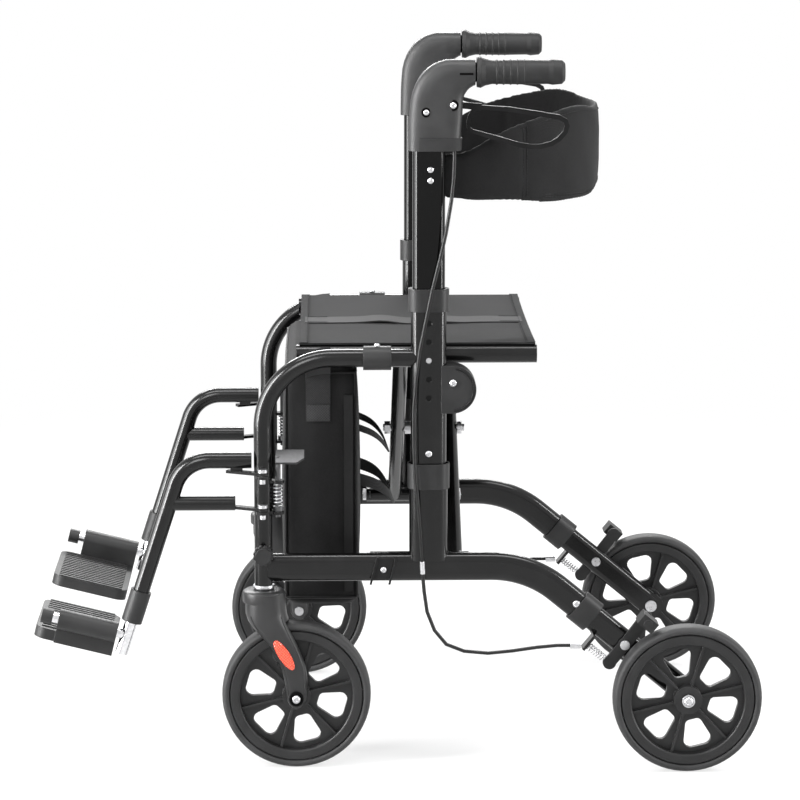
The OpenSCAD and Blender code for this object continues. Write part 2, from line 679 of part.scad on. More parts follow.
module brake_lever(side) {
    bar = 4.4;
    wide = 7;
    loop = [for (q = lever_loop) [post_x + q[0], q[1]]];
    arm = loop[1] - lever_pivot;
    color(black) on_side(side) difference() {
        translate([0, wide / 2, 0]) rotate([90, 0, 0]) linear_extrude(wide) {
            difference() {
                polygon(moved_out(loop, bar / 2));
                polygon(moved_out(loop, -bar / 2));
            }
            translate(lever_pivot) circle(r = 7);
            translate(lever_pivot) rotate(atan2(arm[1], arm[0])) translate([0, -4])
                square([norm(arm), 8]);
        }
        cross_hole(lever_pivot, 6 + 2 * run_gap);
    }
}

// Plate on the inner face of the rear leg: its upper end carries the shoe over the tyre and
// its lower end is drawn by the cable.
module brake_arm(side) {
    shoe = brake_pivot + leg_up * 46 - leg_dir * 2;
    foot = brake_pivot - leg_up * (rail_h / 2 + 13);
    plate_y = leg_t / 2 + brake_gap;
    color(plastic) on_side(side) difference() {
        union() {
            translate([0, plate_y + brake_t, 0]) rotate([90, 0, 0]) linear_extrude(brake_t) {
                for (q = [shoe, brake_pivot, foot]) translate(q) circle(r = 9);
                for (q = [shoe, foot]) {
                    d = q - brake_pivot;
                    translate(brake_pivot) rotate(atan2(d[1], d[0])) translate([0, -8])
                        square([norm(d), 16]);
                }
            }
            translate([shoe[0], plate_y, shoe[1]]) rotate([-90, 0, 0])
                cylinder(d = 12, h = rear_wheel_out + wheel_w / 2 - plate_y);
            translate([shoe[0], rear_wheel_out, shoe[1]]) rotate([0, -leg_slope, 0])
                cube([24, wheel_w - 4, 16], center = true);
        }
        cross_hole(brake_pivot, peg_d + 2 * run_gap);
    }
}

module height_button(side) {
    color(steel) on_side(side) translate([post_x, 0, hole_z]) rotate([-90, 0, 0]) {
        cylinder(d = hole_d - 0.2, h = upper_t / 2);
        translate([0, 0, 2]) cylinder(d = hole_d + 4, h = upper_t / 2 - tube_wall - 2 - clear);
    }
}

module hanger(side) {
    low_start = hang_corner + hang_dir * (hanger_z - hanger_low_z) / cos(hanger_lean) + [3, 0];
    arm_end = stem_x + tube_d / 2 + 3;
    line = [[arm_end, hanger_z], hang_corner, hang_corner + hang_dir * hanger_l];
    plate_out = atan2(-peg_out, tube_d / 2 + 30);
    color(black) on_side(side) difference() {
        union() {
            bent_bar(line, hanger_bend, 1.004) circle(d = hanger_d);
            run(low_start, [arm_end + 22, hanger_low_z]) circle(d = hanger_d - 2);
            for (z = [peg_top, peg_low]) translate([stem_x, peg_out, z - peg_plate_t])
                linear_extrude(peg_plate_t) {
                    circle(r = 7.2);
                    rotate(plate_out) translate([0, -5.2]) square([52, 10.4]);
                }
            translate([arm_end + 12, -7, peg_top - 1]) cube([16, 14, 8]);
        }
        run(hang_corner + hang_dir * 80, hang_corner + hang_dir * (hanger_l + 1))
            circle(d = foot_leg_d + 2 * run_gap);
        translate([stem_x, peg_out, peg_low - 20]) cylinder(d = peg_d + 2 * run_gap, h = 120);
    }
}

module hanger_sleeve(side) {
    end = hang_corner + hang_dir * hanger_l;
    color(plastic) on_side(side) difference() {
        run(end - hang_dir * 40, end + hang_dir * 4) circle(d = hanger_d + 6);
        run(end - hang_dir * 41, end) circle(d = hanger_d + 2 * fit_gap);
        run(end - hang_dir, end + hang_dir * 5) circle(d = foot_leg_d + 2 * run_gap);
    }
}

rod_dir = [cos(plate_tilt), sin(plate_tilt)];
rod_cap_at = plate_start + 88;
module footrest_leg(side) {
    color(steel) on_side(side) {
        run(hang_corner + hang_dir * 130, rod_at + hang_dir * 26) circle(d = foot_leg_d);
        run(rod_at, rod_at + rod_dir * (rod_cap_at + 8)) circle(d = rod_d);
    }
}

// Footplate in its own frame: x along the rod, y across, z up from the rod's middle.
module footplate(side) {
    sleeve_r = 14;
    sleeve_len = 80;
    rib_step = (plate_w - 30) / (rib_n - 1);
    color(plastic) on_side(side) translate([rod_at[0], 0, rod_at[1]]) rotate([0, -plate_tilt, 0]) {
        difference() {
            union() {
                translate([plate_start, 0, 0]) rotate([0, 90, 0]) cylinder(r = sleeve_r, h = sleeve_len);
                translate([plate_start, -sleeve_r, -plate_low]) cube([sleeve_len, 6, plate_low]);
                translate([plate_start + plate_l / 2, -plate_w / 2 - sleeve_r / 2, -plate_low])
                    linear_extrude(plate_t) difference() {
                        round_rect(plate_l, plate_w - sleeve_r, 16);
                        square([plate_l / 3, plate_w / 3], center = true);
                    }
                translate([plate_start + plate_l / 2, -plate_w / 2 - sleeve_r / 2, -plate_drop - 5])
                    cube([plate_l / 3 + 2, plate_w / 3 + 2, 6], center = true);
                for (i = [0 : rib_n - 1])
                    translate([plate_start + 8, -sleeve_r - 14 - i * rib_step, -plate_drop])
                        cube([plate_l - 16, 4.5, 1.6]);
            }
            rotate([0, 90, 0]) cylinder(d = rod_d + 2 * run_gap, h = rod_cap_at + 20);
        }
        difference() {
            translate([rod_cap_at, 0, 0]) rotate([0, 90, 0]) cylinder(d = 20, h = 15);
            rotate([0, 90, 0]) cylinder(d = rod_d + 2 * run_gap, h = rod_cap_at + 8 + clear);
        }
    }
}

// Thumb tab on an upright rod behind the hoop tube; turning it frees the hanger.
module latch(side) {
    color(steel) on_side(side) translate([latch_at[0], latch_at[1], 0]) {
        translate([0, 0, latch_low - 4]) cylinder(r = latch_r, h = hanger_z + 10 - latch_low);
        translate([0, 0, flange_low]) cylinder(r = 7, h = latch_flange);
        translate([-16, 0, hanger_z + 5]) rotate([-40, 0, 0]) linear_extrude(4, center = true)
            polygon([[-19, -11], [19, -11], [19, 11], [-9, 11], [-19, 3]]);
    }
}

module knob(side) {
    lobes = 12;
    color(plastic) on_side(side) translate([stem_x, tube_d / 2 + clear, knob_z])
        rotate([-90, 0, 0]) difference() {
            union() {
                cylinder(d = 12, h = 4);
                translate([0, 0, 4]) cylinder(d = 27, h = 10);
                translate([0, 0, 14]) cylinder(d = 21, h = 3);
            }
            for (i = [0 : lobes - 1]) rotate([0, 0, 360 * i / lobes]) translate([14, 0, 3])
                cylinder(d = 4, h = 12);
            translate([0, 0, -1]) cylinder(d = 6 + 2 * run_gap, h = 11.5);
        }
}

// Brace arm from a lower sleeve at y = -brace_y up to a seat rail at y = +brace_y.
module brace_arm(x) {
    difference() {
        union() {
            translate([brace_x - sleeve_l / 2, -brace_y, pivot_z]) rotate([0, 90, 0])
                cylinder(d = sleeve_d, h = sleeve_l);
            translate([x, -brace_y, pivot_z]) rotate([arm_angle - 90, 0, 0])
                cylinder(d = arm_d, h = arm_l);
            translate([seat_front - seat_l, brace_y, hoop_z]) rotate([0, 90, 0])
                cylinder(d = seat_tube_d, h = seat_l);
        }
        translate([seat_front - seat_l - 1, brace_y, hoop_z]) rotate([0, 90, 0])
            cylinder(d = seat_tube_d - 2 * tube_wall, h = seat_l + 2);
        translate([brace_x - sleeve_l, -brace_y, pivot_z]) rotate([0, 90, 0])
            cylinder(d = pivot_d + 2 * run_gap, h = 2 * sleeve_l);
        translate([x - 40, 0, pivot_z + arm_rise / 2]) rotate([0, 90, 0])
            cylinder(d = pivot_d + 2 * run_gap, h = 80);
    }
}
module front_brace_arm() { color(black) brace_arm(front_arm_x); }
module rear_brace_arm() { color(black) mirror([0, 1, 0]) brace_arm(rear_arm_x); }

module brace_bolt() {
    out = arm_d / 2 + clear;
    color(steel) translate([0, 0, pivot_z + arm_rise / 2]) rotate([0, 90, 0]) {
        translate([0, 0, rear_arm_x - out - 10]) cylinder(d = pivot_d, h = arm_gap + 2 * out + 20);
        translate([0, 0, rear_arm_x - out - 6]) cylinder(d = pivot_d + 8, h = 6);
        translate([0, 0, front_arm_x + out]) cylinder(d = pivot_d + 8, h = 8, $fn = 6);
        translate([0, 0, rear_arm_x + out]) cylinder(d = pivot_d + 8, h = arm_gap - 2 * out);
    }
}

module seat_cloth() {
    low = hoop_z + seat_tube_d / 2 + clear;
    over = 5;
    hem = 11;
    color(cloth) translate([seat_front - seat_l + 2, 0, low]) {
        translate([0, -brace_y - over, 0]) cube([seat_l - 6, 2 * (brace_y + over), cloth_t]);
        for (x = [0, seat_l - 6 - hem]) translate([x, -brace_y - over, cloth_t])
            cube([hem, 2 * (brace_y + over), 1]);
    }
}

// Padded band that bows back between the upper posts, deeper behind the sitter.
module backrest() {
    out = half_w - upper_t / 2 - clear;
    bow_x = post_x - 14;
    back_x = bow_x - out - 1;
    low = band_z - band_drop;
    color(cloth) intersection() {
        translate([bow_x, 0, low - 10]) {
            rotate([0, 0, 90]) rotate_extrude(angle = 180)
                translate([out - band_t, 0]) square([band_t, band_mid_h + 30]);
            for (i = [-1, 1]) translate([0, i * (out - band_t / 2) - band_t / 2, 0])
                cube([24, band_t, band_mid_h + 30]);
        }
        translate([0, half_w, 0]) rotate([90, 0, 0]) linear_extrude(frame_w)
            polygon([[post_x + 12, band_z], [post_x - 60, band_z - band_drop / 3],
                [back_x + 38, low], [back_x + 18, low + 1], [back_x, low + 11],
                [back_x, low + band_mid_h], [back_x + 41, low + band_mid_h + 8],
                [post_x - 150, low + band_mid_h - 3], [post_x - 90, band_z + band_end_h + 23],
                [post_x - 50, band_z + band_end_h + 5], [post_x + 12, band_z + band_end_h]]);
    }
}

module bag() {
    front = stem_x - tube_d / 2 - 15;
    top = hoop_z - seat_tube_d / 2 - 4;
    strap_w = 30;
    strap_x = stem_x - hoop_bend - strap_w / 2 - 3;
    strap_t = 2.4;
    strap_drop = 18;
    color(cloth) {
        translate([front - bag_d / 2, bag_w / 2, top - bag_h / 2]) rotate([90, 0, 0])
            linear_extrude(bag_w) round_rect(bag_d, bag_h, 14);
        for (i = [-1, 1]) mirror([0, i < 0 ? 1 : 0, 0])
            translate([strap_x - strap_w / 2, half_w, 0]) rotate([90, 0, 90])
                linear_extrude(strap_w) difference() {
                    union() {
                        translate([0, hoop_z]) circle(d = tube_d + 2 * (clear + strap_t));
                        translate([bag_w / 2 - half_w - 1, hoop_z - 125])
                            square([strap_t + 1, 125 - strap_drop + strap_t]);
                        translate([bag_w / 2 - half_w, hoop_z - strap_drop])
                            square([half_w - bag_w / 2, strap_t]);
                    }
                    translate([0, hoop_z]) circle(d = tube_d + 2 * clear);
                }
    }
}

front_hoop(LEFT);  // left_front_hoop
lower_rail(LEFT);  // left_lower_rail
post(LEFT);  // left_post
collars(LEFT);  // left_collars
rear_leg(LEFT);  // left_rear_leg
seat_rests(LEFT);  // left_seat_rests
frame_pins(LEFT);  // left_frame_pins
brake_cable(LEFT);  // left_brake_cable
springs(LEFT);  // left_springs
caster_fork(LEFT);  // left_caster_fork
caster_bolts(LEFT);  // left_caster_bolts
front_rim(LEFT);  // left_front_rim
front_tyre(LEFT);  // left_front_tyre
rear_rim(LEFT);  // left_rear_rim
rear_tyre(LEFT);  // left_rear_tyre
upper_post(LEFT);  // left_upper_post
handle(LEFT);  // left_handle
grip(LEFT);  // left_grip
brake_lever(LEFT);  // left_brake_lever
brake_arm(LEFT);  // left_brake_arm
height_button(LEFT);  // left_height_button
hanger(LEFT);  // left_hanger
hanger_sleeve(LEFT);  // left_hanger_sleeve
footrest_leg(LEFT);  // left_footrest_leg
footplate(LEFT);  // left_footplate
latch(LEFT);  // left_latch
knob(LEFT);  // left_knob
front_hoop(RIGHT);  // right_front_hoop
lower_rail(RIGHT);  // right_lower_rail
post(RIGHT);  // right_post
collars(RIGHT);  // right_collars
rear_leg(RIGHT);  // right_rear_leg
seat_rests(RIGHT);  // right_seat_rests
frame_pins(RIGHT);  // right_frame_pins
brake_cable(RIGHT);  // right_brake_cable
springs(RIGHT);  // right_springs
caster_fork(RIGHT);  // right_caster_fork
caster_bolts(RIGHT);  // right_caster_bolts
front_rim(RIGHT);  // right_front_rim
front_tyre(RIGHT);  // right_front_tyre
rear_rim(RIGHT);  // right_rear_rim
rear_tyre(RIGHT);  // right_rear_tyre
upper_post(RIGHT);  // right_upper_post
handle(RIGHT);  // right_handle
grip(RIGHT);  // right_grip
brake_lever(RIGHT);  // right_brake_lever
brake_arm(RIGHT);  // right_brake_arm
height_button(RIGHT);  // right_height_button
hanger(RIGHT);  // right_hanger
hanger_sleeve(RIGHT);  // right_hanger_sleeve
footrest_leg(RIGHT);  // right_footrest_leg
footplate(RIGHT);  // right_footplate
latch(RIGHT);  // right_latch
knob(RIGHT);  // right_knob
front_brace_arm();
rear_brace_arm();
brace_bolt();
seat_cloth();
backrest();
bag();
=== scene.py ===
import json
import math

import bmesh
import bpy
from mathutils import Matrix, Vector


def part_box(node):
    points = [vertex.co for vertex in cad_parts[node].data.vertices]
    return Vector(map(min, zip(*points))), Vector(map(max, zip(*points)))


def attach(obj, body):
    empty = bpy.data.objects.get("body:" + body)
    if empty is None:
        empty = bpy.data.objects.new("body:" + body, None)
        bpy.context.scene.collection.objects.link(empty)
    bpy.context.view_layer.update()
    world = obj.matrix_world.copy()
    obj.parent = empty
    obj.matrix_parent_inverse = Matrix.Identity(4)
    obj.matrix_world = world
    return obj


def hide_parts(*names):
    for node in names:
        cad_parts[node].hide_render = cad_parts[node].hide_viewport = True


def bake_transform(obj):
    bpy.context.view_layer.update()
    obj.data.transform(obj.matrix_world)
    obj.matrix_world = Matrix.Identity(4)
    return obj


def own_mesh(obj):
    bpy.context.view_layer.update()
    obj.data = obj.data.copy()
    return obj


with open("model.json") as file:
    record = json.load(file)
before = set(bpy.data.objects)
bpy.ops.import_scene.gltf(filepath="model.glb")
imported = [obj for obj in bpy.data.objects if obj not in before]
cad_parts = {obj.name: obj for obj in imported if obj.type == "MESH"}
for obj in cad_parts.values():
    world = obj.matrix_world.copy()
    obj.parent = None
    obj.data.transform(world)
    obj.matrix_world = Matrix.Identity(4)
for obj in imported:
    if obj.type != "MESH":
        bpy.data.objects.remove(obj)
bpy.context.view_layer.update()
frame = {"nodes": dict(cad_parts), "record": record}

NODES = frame["nodes"]
SLOT = {s["node"]: s["material_slot"] for s in frame["record"]["subparts"]}
SIDES = (("left_", 1), ("right_", -1))
UP = Vector((0, 0, 1))


def middle(node):
    """The middle of a solid's box."""
    low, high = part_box(node)
    return (low + high) / 2


# Places that the dressing needs, in metres, measured from the solids.
STEM_X = middle("left_knob").x
POST_X = middle("left_post").x
HALF = middle("left_post").y
POST_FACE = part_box("left_post")[1].y
UPPER_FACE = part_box("left_upper_post")[1].y
HOOP_Z = 0.557
HOOP_R = 0.012
HOOP_BEND = 0.092
# Shares of the width that are left when the chair is folded, at the hoops and at the backrest.
FOLD_KEEP, BAND_KEEP = 0.7339, 0.7202
# The photograph's side plane has its zero 44 mm behind the caster stem.
PLANE_X = STEM_X - 0.044


def in_plane(x_mm, z_mm, y):
    """A point measured in the photograph's side plane."""
    return Vector((x_mm / 1000 + PLANE_X, y, z_mm / 1000))


def clamp(value):
    """The value held between 0 and 1."""
    return min(1.0, max(0.0, value))


def hump(value, centre, width):
    """1 at the centre, falling smoothly to 0 on both sides."""
    return math.exp(-(((value - centre) / width) ** 2))


def power(value, exponent):
    """A power that keeps the sign."""
    return math.copysign(abs(value) ** exponent, value)


class Value:
    """A shader socket that takes part in Python sums."""

    def __init__(self, finish, out):
        self.finish = finish
        self.out = out

    def maths(self, operation, *terms):
        node = self.finish.node("Math", {"operation": operation}, dict(enumerate(terms)))
        return Value(self.finish, node.outputs[0])

    def __add__(self, other): return self.maths("ADD", self, other)
    def __mul__(self, other): return self.maths("MULTIPLY", self, other)

    def wave(self): return self.maths("SINE", self)

    def span(self, low, high):
        """0 below low, 1 above high, and a smooth step between."""
        settings = {"interpolation_type": "SMOOTHSTEP"}
        node = self.finish.node("MapRange", settings, {"Value": self, "From Min": low, "From Max": high})
        return Value(self.finish, node.outputs[0])


class Finish:
    """A material with one Principled shader."""

    def __init__(self, name, colour, roughness, metal=0.0, **fixed):
        self.material = bpy.data.materials.new(name)
        self.material.use_nodes = True
        self.tree = self.material.node_tree
        self.shader = self.tree.nodes["Principled BSDF"]
        self.set(Base_Color=(*colour, 1), Roughness=roughness, Metallic=metal, **fixed)
        FINISHES[name] = self.material

    def node(self, kind, settings, sockets):
        made = self.tree.nodes.new("ShaderNode" + kind)
        for key, setting in settings.items():
            setattr(made, key, setting)
        for key, value in sockets.items():
            self.feed(made.inputs[key], value)
        return made

    def feed(self, socket, value):
        if isinstance(value, Value):
            self.tree.links.new(value.out, socket)
        elif isinstance(value, bpy.types.NodeSocket):
            self.tree.links.new(value, socket)
        else:
            socket.default_value = value

    def set(self, **sockets):
        for key, value in sockets.items():
            self.feed(self.shader.inputs[key.replace("_", " ")], value)

    def place(self):
        return self.node("TexCoord", {}, {}).outputs["Object"]

    def axes(self):
        parts = self.node("SeparateXYZ", {}, {0: self.place()})
        return [Value(self, out) for out in parts.outputs]

    def noise(self, scale, detail):
        made = self.node("TexNoise", {}, {"Vector": self.place(), "Scale": scale, "Detail": detail})
        return Value(self, made.outputs["Fac"])

    def blend(self, factor, first, second):
        made = self.node("Mix", {"data_type": "RGBA"}, {"Factor": factor, 6: (*first, 1), 7: (*second, 1)})
        return made.outputs[2]

    def bump(self, height, strength, depth, edge=0.0):
        sockets = {"Height": height, "Strength": strength, "Distance": depth}
        if edge:
            sockets["Normal"] = self.node("Bevel", {"samples": 4}, {"Radius": edge}).outputs[0]
        self.set(Normal=self.node("Bump", {}, sockets).outputs[0])


FINISHES = {}


def grey(value):
    return (value, value, value * 1.02)


def paint(name, value, roughness, peel, **fixed):
    """Sprayed coat on metal: faint orange peel, and a little dust and handling."""
    f = Finish(name, grey(value), roughness, **fixed)
    dust = f.noise(24, 5)
    f.set(Base_Color=f.blend(dust.span(0.45, 0.8), grey(value), grey(value * 1.9)))
    f.set(Roughness=dust * 0.14 + (roughness - 0.07))
    f.bump(f.noise(700, 2), peel, 0.0004, 0.0008)


def moulded(name, value, roughness, grain, **fixed):
    """Moulded plastic or rubber with a fine spark texture."""
    f = Finish(name, grey(value), roughness, **fixed)
    cloud = f.noise(28, 4)
    f.set(Base_Color=f.blend(cloud.span(0.3, 0.75), grey(value * 0.8), grey(value * 1.25)))
    f.set(Roughness=cloud * 0.16 + (roughness - 0.08))
    f.bump(f.noise(1300, 2), grain, 0.0005, 0.001)


def metal(name, value, roughness):
    """Plated steel with fine wear."""
    f = Finish(name, grey(value), roughness, 1.0)
    wear = f.noise(240, 4)
    f.set(Base_Color=f.blend(wear.span(0.4, 0.7), grey(value * 0.85), grey(value)))
    f.set(Roughness=wear * 0.2 + (roughness - 0.1))
    f.bump(f.noise(900, 2), 0.05, 0.0003, 0.0006)


def woven(name, value, pitch, crease=0.35, **fixed):
    """Plain woven cloth: crossing threads, uneven dye and soft creases."""
    f = Finish(name, grey(value), 0.82, Sheen_Weight=0.04, Sheen_Roughness=0.5, **fixed)
    x, y, z = f.axes()
    turns = 2 * math.pi / pitch
    threads = (x * turns).wave() * ((y + z) * turns).wave() * 0.5 + 0.5
    dye = f.noise(60, 5)
    slub = f.noise(420, 3)
    tone = threads * 0.45 + slub * 0.35 + dye * 0.3
    f.set(Base_Color=f.blend(tone.span(0.25, 0.85), grey(value * 0.62), grey(value * 1.4)))
    f.set(Roughness=dye * 0.1 + 0.76)
    f.bump(threads * 0.25 + slub * 0.35 + f.noise(26, 3) * crease * 6, 0.5, 0.0007)


paint("frame_paint", 0.0022, 0.20, 0.05, Specular_IOR_Level=0.36)
paint("leg_paint", 0.0018, 0.18, 0.04, Specular_IOR_Level=0.36)
paint("gloss_paint", 0.0006, 0.15, 0.02, Specular_IOR_Level=0.20)
paint("lever_paint", 0.006, 0.55, 0.1, Specular_IOR_Level=0.10)
metal("latch_steel", 0.11, 0.48)
moulded("collar_plastic", 0.013, 0.44, 0.22, Specular_IOR_Level=0.3)
moulded("fork_plastic", 0.016, 0.40, 0.22, Specular_IOR_Level=0.35)
moulded("wheel_plastic", 0.012, 0.40, 0.2, Specular_IOR_Level=0.3)
moulded("handle_plastic", 0.019, 0.46, 0.3, Specular_IOR_Level=0.35)
moulded("brake_plastic", 0.010, 0.48, 0.3, Specular_IOR_Level=0.3)
moulded("plate_plastic", 0.010, 0.46, 0.25, Specular_IOR_Level=0.35)
moulded("knob_plastic", 0.010, 0.42, 0.22, Specular_IOR_Level=0.35)
moulded("tyre_rubber", 0.022, 0.58, 0.3, Specular_IOR_Level=0.3)
moulded("grip_rubber", 0.010, 0.56, 0.22, Specular_IOR_Level=0.3)
moulded("cable_jacket", 0.006, 0.36, 0.08, Specular_IOR_Level=0.3)
metal("zinc_steel", 0.62, 0.30)
metal("spring_steel", 0.5, 0.33)
metal("chrome_leg", 0.78, 0.14)
woven("seat_fabric", 0.019, 0.0018, 0.08, Specular_IOR_Level=0.02)
woven("band_fabric", 0.0095, 0.0018, 0.3, Specular_IOR_Level=0.1)
# A much darker cloth for the band's inward faces: painted shade.
woven("band_inner_shade", 0.0032, 0.0018, 0.3, Specular_IOR_Level=0.04)
woven("bag_fabric", 0.010, 0.0020, 0.5, Specular_IOR_Level=0.12)
woven("strap_web", 0.022, 0.0030, 0.05, Specular_IOR_Level=0.12)
woven("loop_patch", 0.034, 0.0036, 0.05, Specular_IOR_Level=0.12)
moulded("cuff_plastic", 0.014, 0.62, 0.8, Specular_IOR_Level=0.25)
moulded("clip_plastic", 0.005, 0.42, 0.22, Specular_IOR_Level=0.2)
moulded("deep_shade", 0.0012, 0.6, 0.2, Specular_IOR_Level=0.05)
moulded("thread", 0.034, 0.8, 0.2, Specular_IOR_Level=0.05)
moulded("piping_cord", 0.008, 0.55, 0.2, Specular_IOR_Level=0.2)
lens = Finish("reflector_red", (0.75, 0.055, 0.02), 0.16, Coat_Weight=0.6)
lx, _, lz = lens.axes()
cells = (lx * 1600).wave() * (lz * 1600).wave()
lens.set(Base_Color=lens.blend(cells.span(-0.6, 0.6), (0.45, 0.02, 0.01), (0.85, 0.10, 0.04)))
lens.bump(cells, 0.5, 0.0006)

for name, solid in NODES.items():
    solid.data.materials.clear()
    solid.data.materials.append(FINISHES[SLOT[name]])


def piece(name, shape, finish, body=None, crease=40):
    """A new object from vertices and faces, with sharp edges above the crease angle."""
    mesh = bpy.data.meshes.new(name)
    mesh.from_pydata([tuple(v) for v in shape[0]], [], shape[1])
    draft = bmesh.new()
    draft.from_mesh(mesh)
    bmesh.ops.recalc_face_normals(draft, faces=draft.faces)
    draft.to_mesh(mesh)
    draft.free()
    mesh.shade_smooth()
    mesh.set_sharp_from_angle(angle=math.radians(crease))
    made = bpy.data.objects.new(name, mesh)
    bpy.context.scene.collection.objects.link(made)
    mesh.materials.append(FINISHES[finish])
    if body:
        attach(made, body)
    return made


def gathered(shapes):
    """Several shapes as one list of vertices and one of faces."""
    verts, faces = [], []
    for v, f in shapes:
        start = len(verts)
        verts += list(v)
        faces += [tuple(i + start for i in face) for face in f]
    return verts, faces


def lofted(rings):
    """Closed skin over rings of equal count, with a flat end on the first and last."""
    n = len(rings[0])
    verts = [p for ring in rings for p in ring]
    faces = [tuple(reversed(range(n))), tuple(range(len(verts) - n, len(verts)))]
    for i in range(len(rings) - 1):
        for k in range(n):
            a, b = i * n + k, i * n + (k + 1) % n
            faces.append((a, b, b + n, a + n))
    return verts, faces


def cord(path, r, n=6):
    """Round cord through points."""
    points = [Vector(p) for p in path]
    rings, side = [], None
    for i, p in enumerate(points):
        along = (points[min(i + 1, len(points) - 1)] - points[max(i - 1, 0)]).normalized()
        side = side or (UP if abs(along.z) < 0.9 else Vector((0, 1, 0)))
        side = (side - along * side.dot(along)).normalized()
        over = along.cross(side)
        rings.append([p + r * (math.cos(2 * math.pi * k / n) * side + math.sin(2 * math.pi * k / n) * over)
                      for k in range(n)])
    return lofted(rings)


def slab(grid, thick):
    """Closed sheet over a grid of points, thickened both ways along its normals."""
    rows, cols = len(grid), len(grid[0])
    top, low = [], []
    for i in range(rows):
        for j in range(cols):
            a = grid[min(i + 1, rows - 1)][j] - grid[max(i - 1, 0)][j]
            b = grid[i][min(j + 1, cols - 1)] - grid[i][max(j - 1, 0)]
            n = a.cross(b).normalized() * (thick / 2)
            top.append(grid[i][j] + n)
            low.append(grid[i][j] - n)
    k = rows * cols
    faces = []
    for i in range(rows - 1):
        for j in range(cols - 1):
            a = i * cols + j
            faces.append((a, a + 1, a + cols + 1, a + cols))
            faces.append((k + a, k + a + cols, k + a + cols + 1, k + a + 1))
    rim = list(range(cols)) + [i * cols + cols - 1 for i in range(1, rows)]
    rim += [(rows - 1) * cols + j for j in range(cols - 2, -1, -1)]
    rim += [i * cols for i in range(rows - 2, 0, -1)]
    faces += [(a, k + a, k + b, b) for a, b in zip(rim, rim[1:] + rim[:1])]
    return top + low, faces


def webbing(path, width_dir, width, thick=0.0016):
    """Flat strap through points; width_dir is across it."""
    across = Vector(width_dir).normalized() * (width / 2)
    return slab([[Vector(p) + across * s for s in (-1, -0.34, 0.34, 1)] for p in path], thick)


def turned(profile, point, axis, n=20):
    """Body of revolution from (radius, height) pairs above a point."""
    z = Vector(axis).normalized()
    x = (Vector((1, 0, 0)) if abs(z.x) < 0.9 else Vector((0, 1, 0)))
    x = (x - z * x.dot(z)).normalized()
    y = z.cross(x)
    return lofted([[Vector(point) + z * h + r * (math.cos(2 * math.pi * k / n) * x
                   + math.sin(2 * math.pi * k / n) * y) for k in range(n)] for r, h in profile])


def ring(profile, point, n=72):
    """Closed ring about the y axis from a closed outline of (radius, distance along y) pairs."""
    m = len(profile)
    verts, faces = [], []
    for k in range(n):
        a = 2 * math.pi * k / n
        verts += [Vector(point) + Vector((r * math.cos(a), h, r * math.sin(a))) for r, h in profile]
        for i in range(m):
            b, j = (k + 1) % n, (i + 1) % m
            faces.append((k * m + i, k * m + j, b * m + j, b * m + i))
    return verts, faces


def mirrored(half):
    """A half outline and its reflection across the middle plane, as one closed outline."""
    return half + [(r, -h) for r, h in reversed(half)]


def carve(made, shape):
    """Takes a closed shape out of a piece."""
    cutter = piece("cutter", shape, "frame_paint")
    cut = made.modifiers.new("cut", "BOOLEAN")
    cut.operation, cut.solver, cut.object = "DIFFERENCE", "EXACT", cutter
    mesh = bpy.data.meshes.new_from_object(made.evaluated_get(bpy.context.evaluated_depsgraph_get()))
    made.modifiers.clear()
    made.data = mesh
    mesh.set_sharp_from_angle(angle=math.radians(40))
    bpy.data.objects.remove(cutter)


def block(low, high):
    """Box between two corners."""
    ends = [[Vector((x, y, z)) for x, y in ((low[0], low[1]), (high[0], low[1]), (high[0], high[1]),
                                            (low[0], high[1]))] for z in (low[2], high[2])]
    return lofted(ends)


def swollen(made, voxel, pressure, reach, sewn):
    """Fills a padded form by cloth simulation: sewn places stay, and no point moves further than reach."""
    even = made.modifiers.new("even", "REMESH")
    even.mode, even.voxel_size, even.use_smooth_shade = "VOXEL", voxel, True
    mesh = bpy.data.meshes.new_from_object(made.evaluated_get(bpy.context.evaluated_depsgraph_get()))
    made.modifiers.clear()
    made.data = mesh
    start = [v.co.copy() for v in mesh.vertices]
    held = made.vertex_groups.new(name="sewn")
    held.add([v.index for v in mesh.vertices if sewn(v.co)], 1.0, "REPLACE")
    cloth = made.modifiers.new("fill", "CLOTH")
    cloth.settings.vertex_group_mass = held.name
    cloth.settings.use_pressure = True
    cloth.settings.uniform_pressure_force = pressure
    cloth.settings.effector_weights.gravity = 0
    cloth.settings.quality = 5
    cloth.point_cache.frame_start, cloth.point_cache.frame_end = 1, 20
    for step in range(1, 21):
        bpy.context.scene.frame_set(step)
    done = made.evaluated_get(bpy.context.evaluated_depsgraph_get()).data
    for v, p, q in zip(mesh.vertices, start, [v.co.copy() for v in done.vertices]):
        move = q - p
        v.co = p + move * min(1.0, reach / max(move.length, 1e-9))
    made.modifiers.clear()
    made.vertex_groups.clear()
    bpy.context.scene.frame_set(1)
    mesh.shade_smooth()


def outer_face(node, x, z, reach, g):
    """How far out a solid's side face stands near a place in the side view."""
    near = [v.co.y * g for v in NODES[node].data.vertices
            if abs(v.co.x - x) < reach and abs(v.co.z - z) < reach]
    return max(near)


def screw(point, axis, d):
    """Domed head with a round socket, standing on a surface point."""
    r = d / 2
    head = [(r, 0), (r, r * 0.3), (r * 0.9, r * 0.52), (r * 0.66, r * 0.68), (r * 0.48, r * 0.7)]
    return turned(head + [(r * 0.44, r * 0.3), (r * 0.02, r * 0.26)], point, axis, 24)


def rivet(point, axis, d):
    """Plain domed rivet head."""
    r = d / 2
    dome = [(r * math.cos(a), r * 0.55 * math.sin(a)) for a in (0, 0.3, 0.6, 0.9, 1.2, 1.5)]
    return turned(dome, point, axis, 24)


